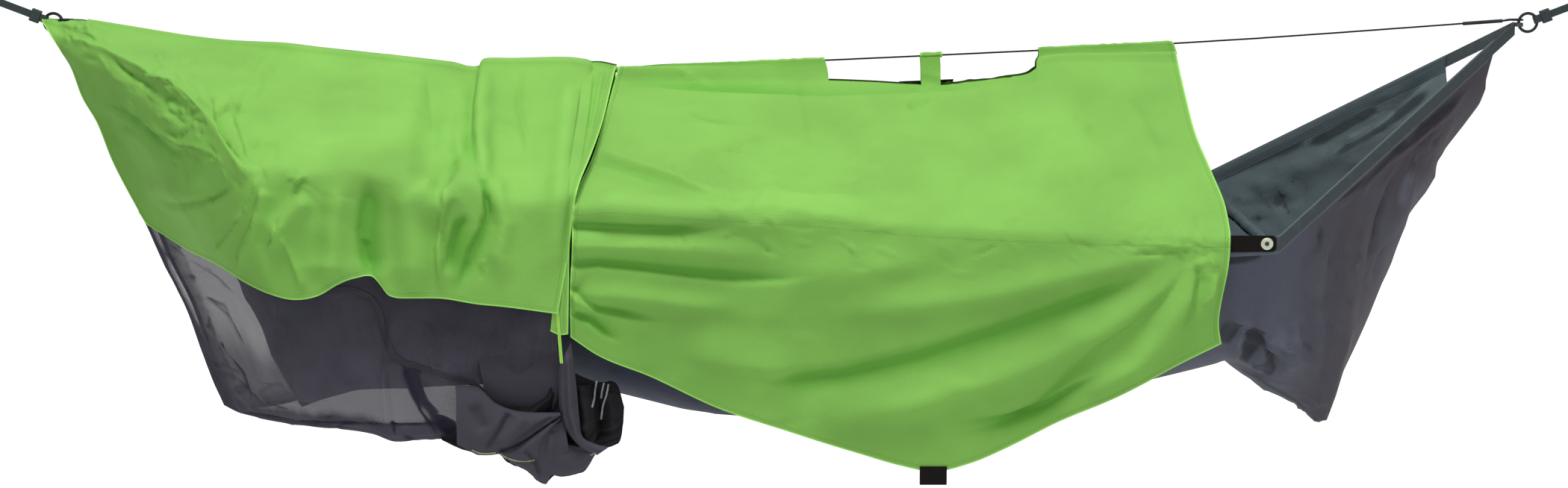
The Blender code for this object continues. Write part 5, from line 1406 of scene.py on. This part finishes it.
# The rows and shares between which the net's folds grow, and how strong they get.
NET_ROWS_GROWTH = (-0.02, 0.23)
NET_SHARES_GROWTH = (-0.02, 0.06)
NET_STRENGTH = 0.8
NET_STROKES = [
    ("ridge", 0.010, 20, (0.1, 0.3), [(225, 345), (262, 420), (290, 490), (312, 540)]),
    ("sharp", 0.014, 14, (0.2, 0.2), [(530, 400), (522, 450), (514, 510), (520, 580)]),
    ("ridge", 0.016, 24, (0.2, 0.3), [(600, 410), (600, 470), (590, 530), (580, 580)]),
    ("ridge", -0.003, 16, (0.2, 0.3), [(655, 412), (650, 470), (638, 530), (632, 585)]),
    ("ridge", 0.014, 22, (0.2, 0.3), [(700, 415), (700, 470), (690, 530), (690, 575)]),
    ("ridge", 0.012, 22, (0.2, 0.3), [(400, 410), (410, 470), (420, 530), (425, 568)]),
    # Dark creases along its left side, its hem cord's line, and the creases that run to the gathers.
    ("crease", -0.010, 5, (0.05, 0.05),
     [(188, 300), (212, 352), (242, 420), (262, 470), (282, 515), (300, 540)]),
    ("crease", -0.008, 3, (0.1, 0.2), [(205, 312), (236, 380), (262, 430), (276, 470), (300, 525)]),
    ("crease", -0.007, 3, (0.1, 0.2), [(262, 430), (290, 455), (325, 500), (340, 545)]),
    ("crease", -0.006, 3, (0.1, 0.2), [(222, 326), (250, 346), (290, 372), (318, 400)]),
    ("crease", -0.006, 3, (0.1, 0.2), [(250, 392), (276, 398), (306, 425), (330, 470)]),
    ("crease", -0.005, 3, (0.1, 0.2), [(270, 470), (300, 490), (350, 540), (400, 552)]),
    ("crease", -0.009, 2.5, (0.1, 0.1), [(318, 550), (396, 565), (500, 568), (560, 569), (618, 567)]),
    ("crease", -0.010, 3, (0.1, 0.1), [(516, 440), (519, 511), (523, 550), (529, 588)]),
    ("ridge", -0.014, 11, (0.05, 0.05), [(546, 492), (562, 528), (588, 560), (606, 584)]),
    ("crease", -0.008, 3, (0.1, 0.1), [(538, 486), (552, 520), (562, 550), (590, 588)]),
    ("crease", -0.006, 5, (0.1, 0.3),
     [(470, 395), (500, 400), (512, 440), (522, 478), (560, 498), (620, 518)]),
]
NET_SEED = 41
NET_CRINKLES = dict(count=190, height=0.0050, length=34, turn=20, spots=[
    (215, 350, 26, 62, 1.2),
    (255, 440, 34, 64, 1.4),
    (290, 510, 34, 58, 1.2),
    (245, 380, 34, 25, 1.0),
    (330, 545, 50, 12, 1.0),
    (450, 572, 70, 6, 1.2),
    (570, 575, 60, 8, 1.0),
    (640, 540, 50, 60, 1.0),
    (700, 470, 60, 100, 0.7),
    (560, 470, 60, 40, 0.7),
])
NET_SIDES = (("front", 1.0), ("rear", 0.8, 1.1, 22))
# How the rear net's hem hangs: lower than the front net's, and a little to the left of it.
REAR_NET_DROP = (-0.009, 0, -0.045)
DROP_FULL_FROM = 0.3
# The steps in pixels of a strip along a sheet, and the points of the sheet that each of its points goes by.
STRIP_STEP = 2.5
STRIP_NEAREST = 6
STRIP_ACROSS = (-1, -0.5, 0, 0.5, 1)


def net_depth(s, t):
    """How far out the net hangs: against the cover at its top, and further in towards its hem."""
    top, low = (tip + further * rise(s, 0, share) for tip, further, share in (NET_TOP_OUT, NET_LOW_OUT))

    def depth(x, z):
        margin = NET_CLEAR + NET_BAG_CLEAR * rise(x, *BAG_ZONE)
        return np.maximum(top + (low - top) * t, bed_width_at(x, z) + margin)
    return depth


def strip_along(grid, line, half, lift):
    """A narrow strip of a sheet's surface that follows a line of pixels, raised a little from it."""
    run = run_along(np.array(line, float), 0)
    at = np.linspace(0, run[-1], int(run[-1] / STRIP_STEP))
    middle = track([(r, x, y) for r, (x, y) in zip(run, line)], at)
    way = unit(np.gradient(middle, axis=0))
    normal = np.stack([-way[:, 1], way[:, 0]], axis=-1)
    pixels, depths = on_photo(grid).reshape(-1, 2), grid[..., 1].reshape(-1)
    rows = []
    for off in STRIP_ACROSS:
        spots = middle + normal * half * off
        ys = []
        for spot in spots:
            distance = np.hypot(*(pixels - spot).T)
            nearest = np.argpartition(distance, STRIP_NEAREST)[:STRIP_NEAREST]
            weight = 1 / (distance[nearest] + 0.3)
            ys.append((depths[nearest] * weight).sum() / weight.sum())
        rows.append(seen(spots, np.array(ys) - lift))
    return np.array(rows)


def make_net(finishes, seam_finish):
    _, _, pixels, s, t = laid_out(
        NET_LINES, NET_STATIONS, NET_ACROSS, NET_DOWN, NET_LEFT_SIDE, NET_RIGHT_SIDE, NET_STEP)
    calm = rise(t, *NET_ROWS_GROWTH) * rise(s, *NET_SHARES_GROWTH) * NET_STRENGTH
    drops = {"front": 0, "rear": (t * rise(s, 0, DROP_FULL_FROM))[..., None] * REAR_NET_DROP}
    for end, turn, soft, strokes in on_both_sides(pixels, NET_SEED, NET_CRINKLES, NET_STROKES, NET_SIDES):
        grid, fold = drape(pixels, net_depth(s, t), strokes, soft, calm)
        seam = strip_along(grid, NET_SEAM, SEAM_HALF_WIDTH, SEAM_LIFT) * turn
        grid = grid * turn + drops[end]
        hems = edge_run(grid, ("low", "right", "left"))
        piece = thin_mesh("net_%s_cloth" % end, grid, finishes[end], None, hems, seam_run(grid, -1), fold)
        trim = thin_mesh("net_%s_seam" % end, seam, seam_finish, None, edge_run(seam, ("top", "low")))
        yield piece, trim


# The gathered end of the net, drawn over the photo: its top line and its lower outline.
BUNCH_TOP = [
    (590, 586), (640, 566), (700, 535), (742, 505), (758, 498), (780, 500), (805, 506), (828, 517),
    (836, 545),
]
BUNCH_LOW = [
    (592, 590), (620, 603), (650, 609), (667, 609), (678, 619), (706, 632), (719, 645), (732, 649),
    (740, 641), (753, 638), (785, 630), (798, 609), (813, 601), (830, 593), (835, 566),
]
BUNCH_STATIONS = (0.0, 0.30, 0.55, 0.80, 1.0)
BUNCH_TOP_AT = (590, 690, 758, 805, 836)
BUNCH_LOW_STATIONS = (0, 0.30, 0.55, 0.80, 0.93, 1.0)
BUNCH_LOW_AT = (592, 678, 732, 798, 830, 835)
# Columns from each station to the next, and rows round the bunch.
BUNCH_COLUMNS = (50, 34, 24, 18)
BUNCH_ROWS = 97
# The bunch is wound once round, from this angle on, and so thick to each side of its middle.
BUNCH_WOUND = 2 * math.pi * 0.93
BUNCH_START = 0.22
BUNCH_HALF = 0.040
BUNCH_Y = BED_HALF_WIDTH - 0.058
BUNCH_LIMITS = (-0.026, 0.024)
# The shares of the bunch's length between which its folds grow at its start and die away at its end.
BUNCH_GROWTH = (0, 0.08)
BUNCH_END = (1, 0.94)
BUNCH_STROKES = [
    ("sharp", 0.016, 9, (0.1, 0.3), [(742, 505), (735, 530), (705, 560), (660, 585), (625, 598)]),
    ("sharp", -0.018, 8, (0.1, 0.3), [(750, 505), (740, 545), (712, 578), (680, 603)]),
    ("ridge", 0.018, 9, (0.1, 0.3), [(758, 502), (756, 545), (740, 585), (716, 620)]),
    ("sharp", -0.020, 8, (0.1, 0.3), [(768, 502), (768, 550), (754, 598), (735, 638)]),
    ("ridge", 0.020, 9, (0.1, 0.3), [(776, 505), (784, 550), (786, 590), (774, 622)]),
    ("sharp", -0.024, 9, (0.1, 0.3), [(792, 508), (800, 545), (801, 585), (794, 612)]),
    ("ridge", 0.012, 7, (0.1, 0.3), [(812, 512), (820, 550), (818, 590)]),
    ("sharp", 0.012, 6, (0.1, 0.4), [(700, 540), (690, 570), (668, 598)]),
    ("crease", -0.010, 4, (0.1, 0.3), [(650, 566), (650, 586), (640, 600)]),
    ("sharp", 0.012, 7, (0.2, 0.2), [(680, 612), (700, 618), (722, 616), (742, 608)]),
    ("sharp", 0.010, 6, (0.2, 0.2), [(706, 630), (722, 634), (745, 628), (770, 618)]),
]
# The flaps of netting that lie over the bunch, lowest first: top line, lower line, metres out from the
# bunch, and where the pale drawcord shows along it.
FLAPS = [
    ([(640, 480), (700, 470), (750, 462)],
     [(650, 530), (668, 549), (700, 557), (750, 561)], -0.024,
     None),
    ([(676, 596), (720, 590), (760, 596), (792, 602)],
     [(684, 620), (711, 635), (722, 646), (731, 649), (739, 637), (752, 639), (784, 629),
      (798, 608)], 0.000,
     None),
    ([(722, 574), (735, 568), (749, 560), (757, 572)],
     [(719, 619), (735, 622), (753, 618), (763, 610)], 0.004,
     [(720, 618), (735, 620), (750, 617), (758, 611)]),
    ([(668, 606), (694, 597), (723, 578), (750, 558)],
     [(669, 609), (682, 617), (702, 621), (719, 619), (728, 590), (751, 562)], 0.009,
     [(670, 609), (682, 615), (702, 619), (716, 617)]),
    ([(610, 516), (640, 519), (664, 540), (690, 550), (750, 553)],
     [(612, 596), (630, 605), (641, 610), (665, 609), (694, 598), (723, 578), (751, 558)], 0.013,
     [(632, 603), (641, 607), (652, 608), (664, 607)]),
    ([(765, 458), (769, 492), (773, 526), (776, 560), (781, 586), (798, 595), (816, 599)],
     [(748, 492), (748, 522), (750, 551), (757, 574), (770, 592), (784, 604), (800, 610)], 0.016,
     [(768, 610), (778, 611), (790, 610), (798, 607)]),
]
FLAP_STROKES = [
    ("sharp", -0.010, 7, (0.1, 0.2), [(682, 552), (670, 574), (656, 592), (648, 606)]),
    ("ridge", 0.009, 9, (0.1, 0.3), [(700, 556), (690, 575), (676, 592), (664, 602)]),
    ("sharp", -0.007, 5, (0.1, 0.2), [(742, 557), (716, 572), (694, 588), (680, 597)]),
    ("ridge", 0.008, 7, (0.2, 0.2), [(746, 562), (722, 584), (700, 602), (690, 612)]),
    ("ridge", 0.009, 6, (0.1, 0.2), [(760, 470), (762, 510), (764, 550), (772, 584), (796, 602)]),
    ("crease", -0.006, 3, (0.1, 0.2), [(757, 480), (757, 520), (758, 556), (768, 586)]),
    ("ridge", -0.008, 9, (0.2, 0.3), [(634, 540), (640, 560), (652, 580)]),
    ("sharp", -0.008, 6, (0.2, 0.2), [(700, 600), (716, 618), (724, 640)]),
    ("ridge", 0.007, 6, (0.2, 0.2), [(738, 575), (738, 598), (734, 616)]),
]
FLAP_GRID = (61, 33)
FLAP_SWELL = 0.010
# The rows of a flap between which its lower edge tucks in, and its upper edge falls into shade.
FLAP_TUCK = (0.85, 1)
FLAP_SHADE = (0.10, 0)
# How deep the painted shade along a flap's upper edge is.
FLAP_RIM_PAINTED_SHADE = 0.012
# White gaps between the threads of the bunch.
BUNCH_GAPS = [
    [(799, 511), (797, 524), (796, 534), (793, 546)],
    [(809, 513), (806, 526), (805, 534)],
    [(815, 515), (812, 530), (808, 542), (805, 562)],
]
GAP_HALF, GAP_LIFT = 1.2, 0.002
DRAWCORD_HALF, DRAWCORD_LIFT = 1.1, 0.0015


def evenly(points):
    """A line of pixels with each point's share of its length."""
    run = run_along(np.array(points, float), 0)
    return [(r / run[-1], x, y) for r, (x, y) in zip(run, points)]


def make_flap(upper, lower, out):
    """One flap of netting between its two lines, curved forward along its middle, with painted shade along
    its upper edge.
    """
    columns, rows = (np.linspace(0, 1, count) for count in FLAP_GRID)
    pixels, s, t = patchwork([evenly(upper), evenly(lower)], columns, rows)
    swell = FLAP_SWELL * (np.sin(np.pi * t) - rise(t, *FLAP_TUCK))
    fold = folds_on(pixels, FLAP_STROKES)
    edge = np.minimum(np.minimum(s, 1 - s) / 0.08, (1 - t) / 0.10)
    y = -(BUNCH_Y + BUNCH_HALF + out + swell) - fold * rise(edge, 0, 1)
    return seen(pixels, y), fold - FLAP_RIM_PAINTED_SHADE * rise(t, *FLAP_SHADE)


def bunch_surface():
    """The gathered net as one sheet wound round its drawcord, its folds, and the points of its front."""
    columns = stepped(BUNCH_STATIONS, BUNCH_COLUMNS)
    upper = track(spread(BUNCH_TOP, BUNCH_STATIONS, BUNCH_TOP_AT), columns)
    lower = track(spread(BUNCH_LOW, BUNCH_LOW_STATIONS, BUNCH_LOW_AT), columns)
    s, v = np.meshgrid(columns, np.linspace(0, 1, BUNCH_ROWS))
    turn = BUNCH_WOUND * v + BUNCH_START
    up = (0.5 + 0.5 * np.cos(turn))[..., None]
    pixels = upper * up + lower * (1 - up)
    thick = BUNCH_HALF * np.sin(np.pi * np.clip(s * 0.90 + 0.05, 0, 1)) ** 0.8
    pleat = 0.22 * np.abs(np.sin(7.5 * turn + 5.0 * s)) + 0.10 * np.sin(17 * turn + 9 * s)
    grid = seen(pixels, -(BUNCH_Y + thick * (np.sin(turn) * (1 - pleat))))
    facing = np.clip(np.sin(turn) * 2, 0, 1) * rise(s, *BUNCH_GROWTH) * rise(s, *BUNCH_END)
    fold = np.clip(folds_on(pixels, BUNCH_STROKES), *BUNCH_LIMITS) * facing
    grid[..., 1] -= fold
    middle = grid.mean(axis=0, keepdims=True)
    grid = middle + (grid - middle) * (1 - 0.10 * np.abs(np.sin(6 * turn + 8 * s)))[..., None]
    return grid, fold, grid[facing > 0.5][None]


def make_bunch(shaded_inside_finish, flap_finish, cord_finish, gap_finish):
    """The gathered net, its wound sheet coloured as painted shade, with the flaps over it, its drawcord and
    the white gaps between its threads.
    """
    grid, fold, front = bunch_surface()
    cloths = [(grid, shaded_inside_finish, fold)]
    strips = [(strip_along(front, line, GAP_HALF, GAP_LIFT), gap_finish) for line in BUNCH_GAPS]
    for upper, lower, out, cord in FLAPS:
        flap, fold = make_flap(upper, lower, out)
        cloths.append((flap, flap_finish, fold))
        if cord:
            strips.append((strip_along(flap, cord, DRAWCORD_HALF, DRAWCORD_LIFT), cord_finish))
    for end, turn in TURNS.items():
        parts = [thin_mesh("bunch_%s_cloth_%d" % (end, i), cloth * turn, finish, fold=fold)
                 for i, (cloth, finish, fold) in enumerate(cloths)]
        parts += [thin_mesh("bunch_%s_cord_%d" % (end, i), strip * turn, finish, None,
                            edge_run(strip, ("top", "low")))
                  for i, (strip, finish) in enumerate(strips)]
        yield parts[0], parts[1:]


# Cloth sleeves over the spreader poles, inside the bed, and round the ridge cord, where each of the cord's
# sleeves takes the place of one of the frame's plain sleeves.
POLE_SLEEVE_RADIUS = 0.0105
POLE_SLEEVE_HALF = 0.418
POLE_SLEEVE_COLUMNS = 180
SLEEVES = ("fly_sleeve_left", "fly_sleeve_tab", "fly_sleeve_right", "cover_sleeve")
SLEEVE_RADIUS = 0.0056
SLEEVE_STEP = 0.004
SLEEVE_LEAST_COLUMNS = 8
SLEEVE_SIDES = 25
SLEEVE_SHADING = 4


def round_sleeve(xs):
    """A grid of places along a sleeve and angles round it."""
    return np.meshgrid(xs, np.linspace(0, 2 * math.pi, SLEEVE_SIDES))


def make_pole_sleeve(end, finish):
    x, z = POLE_LEFT if end == "left" else POLE_RIGHT
    y, a = round_sleeve(np.linspace(-POLE_SLEEVE_HALF, POLE_SLEEVE_HALF, POLE_SLEEVE_COLUMNS))
    wrinkle = 0.0009 * np.sin(110 * y + 3 * np.sin(37 * y) + a) + 0.0006 * np.sin(230 * y + 2 * a)
    reach = POLE_SLEEVE_RADIUS + wrinkle
    grid = np.stack([x + reach * np.sin(a), y, z + reach * np.cos(a)], axis=-1)
    hems = edge_run(grid, ("left", "right"))
    piece = thin_mesh(end + "_pole_sleeve", grid, finish, None, hems, fold=wrinkle * SLEEVE_SHADING)
    return piece


def make_sleeve(node, finish):
    """A thin tube of cloth round the cord, drawn in a little between its wrinkles."""
    low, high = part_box(node)
    count = max(SLEEVE_LEAST_COLUMNS, int((high[0] - low[0]) / SLEEVE_STEP))
    x, a = round_sleeve(np.linspace(low[0], high[0], count))
    wrinkle = 0.0005 * np.sin(160 * x + 3 * np.sin(40 * x)) + 0.0003 * np.sin(310 * x + 2 * a)
    reach = SLEEVE_RADIUS + wrinkle * (0.4 + 0.6 * np.cos(a) ** 2)
    grid = np.stack([x, reach * np.sin(a), ridge_height(x) + reach * np.cos(a)], axis=-1)
    piece = thin_mesh(node + "_cloth", grid, finish, None, edge_run(grid, ("left", "right")))
    return piece


def ends_pair(name):
    return [name % end for end in ("left", "right")]


def finish_frame_pieces(finishes):
    """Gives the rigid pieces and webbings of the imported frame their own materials."""
    corners = [end + "_%s_" + side for end in ("left", "right") for side in ("front", "rear")]
    groups = {
        "steel": ends_pair("ring_%s"),
        "strap": ends_pair("%s_strap") + ends_pair("%s_strap_keeper"),
        "webbing": ["front_edge_webbing", "rear_edge_webbing"] + ends_pair("end_loop_%s"),
        "splice": ends_pair("ridge_splice_%s"),
        "cord": ["ridge_cord"],
        "black": [c % "side_strap" for c in corners] + ["fly_vent_patch", "fly_front_tab", "fly_rear_tab"],
        "grommet": [c % "grommet" for c in corners],
        "pole": ends_pair("%s_spreader_pole"),
        "cap": [c % "pole_cap" for c in corners],
    }
    for group, names in groups.items():
        for node in names:
            for place in bpy.data.objects[node].material_slots:
                place.link = "DATA"
                place.material = finishes[group]


def bend_at_ridge(piece, body):
    """Bakes the piece's placement into its points."""
    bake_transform(piece)


make_camera()
make_stage()
for light in LIGHTS:
    make_light(*light)
bpy.context.scene.view_settings.view_transform = "Standard"

green = cloth_finish("green_cloth", "85BF59", 0.7, seam=True, crumple=0.8, specular=0.10)
plain_green = cloth_finish("green_cover_cloth", "85BF59", 0.7, crumple=0.8, specular=0.10)
slate_outer = bed_finish("slate_outer_cloth", ("585B68", "514D52", "2E3343"), 0.7, "68727C")
slate_inner = bed_finish("slate_inner_cloth", ("66757A", "5F6C70", "2C3140"), 0.65, "465156")
netting = {
    "front": net_finish("mosquito_net", "4B4953", "2B2738", 0.67, 0.30),
    "rear": net_finish("rear_mosquito_net", "4B4953", "2B2738", 0.60, 0.0),
}
gathered = cloth_finish("gathered_net", "4A4751", 0.8, hem=False, crumple=1.0, specular=0.15)
tape = tape_finish("net_tape", "3A3A40")
binding = tape_finish("green_binding", "A0E25E")
drawcord = tape_finish("pale_drawcord", "8E9A78")
# A nearly black sheet of painted shade, which shows in the gaps between the bunch's flaps.
in_shade = cloth_finish("gathered_net_inside_painted_shade", "262428", 0.8, hem=False, crumple=1.0, specular=0.1)
bright = tape_finish("pale_threads", "B4B6C0")
# Darker than the bed's inner cloth: painted shade for the sleeves that lie inside the bed.
pole_cloth_in_shade = cloth_finish("pole_sleeve_cloth_painted_shade", "4A585C", 0.75, specular=0.12)
finish_frame_pieces({
    "steel": metal_finish("dark_steel", "2B2D30", 0.35),
    "strap": webbing_finish("strap_webbing", "465051", 0.0016),
    "webbing": webbing_finish("slate_webbing", "565F62", 0.0014),
    "splice": webbing_finish("splice_braid", "3A3F45", 0.0010),
    "cord": cord_finish("dark_cord", "23272B"),
    "black": webbing_finish("black_webbing", "14110F", 0.0013),
    "grommet": metal_finish("cream_grommet", "C5CBB5", 0.35, 0.4),
    "pole": metal_finish("aluminium", "B9BCC0", 0.35),
    "cap": plastic_finish("black_plastic", "161618", 0.6),
})

for piece, body, node in zip(make_fly(green), ("front_fly", "rear_fly"), ("fly_front", "fly_rear")):
    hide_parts(node)
    bend_at_ridge(piece, body)
covers = make_cover(plain_green)
for piece, body, node in zip(covers, ("front_cover", "rear_cover"), ("cover_front", "cover_rear")):
    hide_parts(node)
    bend_at_ridge(piece, body)
bed = make_bed(slate_outer, slate_inner)
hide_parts("bed")
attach(bed, "hammock")
for (piece, trim), end in zip(make_net(netting, tape), ("front", "rear")):
    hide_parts("net_" + end)
    for part in (piece, trim):
        bend_at_ridge(part, end + "_cover")
for (piece, trims), end in zip(make_bunch(in_shade, gathered, drawcord, bright), ("front", "rear")):
    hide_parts("net_bunch_" + end)
    for part in [piece] + trims:
        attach(part, end + "_cover")
    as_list(trims)
for (piece, trim), end in zip(make_bundle(plain_green, binding), ("front", "rear")):
    for part in (piece, trim):
        bend_at_ridge(part, end + "_cover")
for end in ("left", "right"):
    piece = make_pole_sleeve(end, pole_cloth_in_shade)
    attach(piece, "hammock")
for node in SLEEVES:
    piece = make_sleeve(node, green)
    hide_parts(node)
    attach(piece, "hammock")
    low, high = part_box(node)
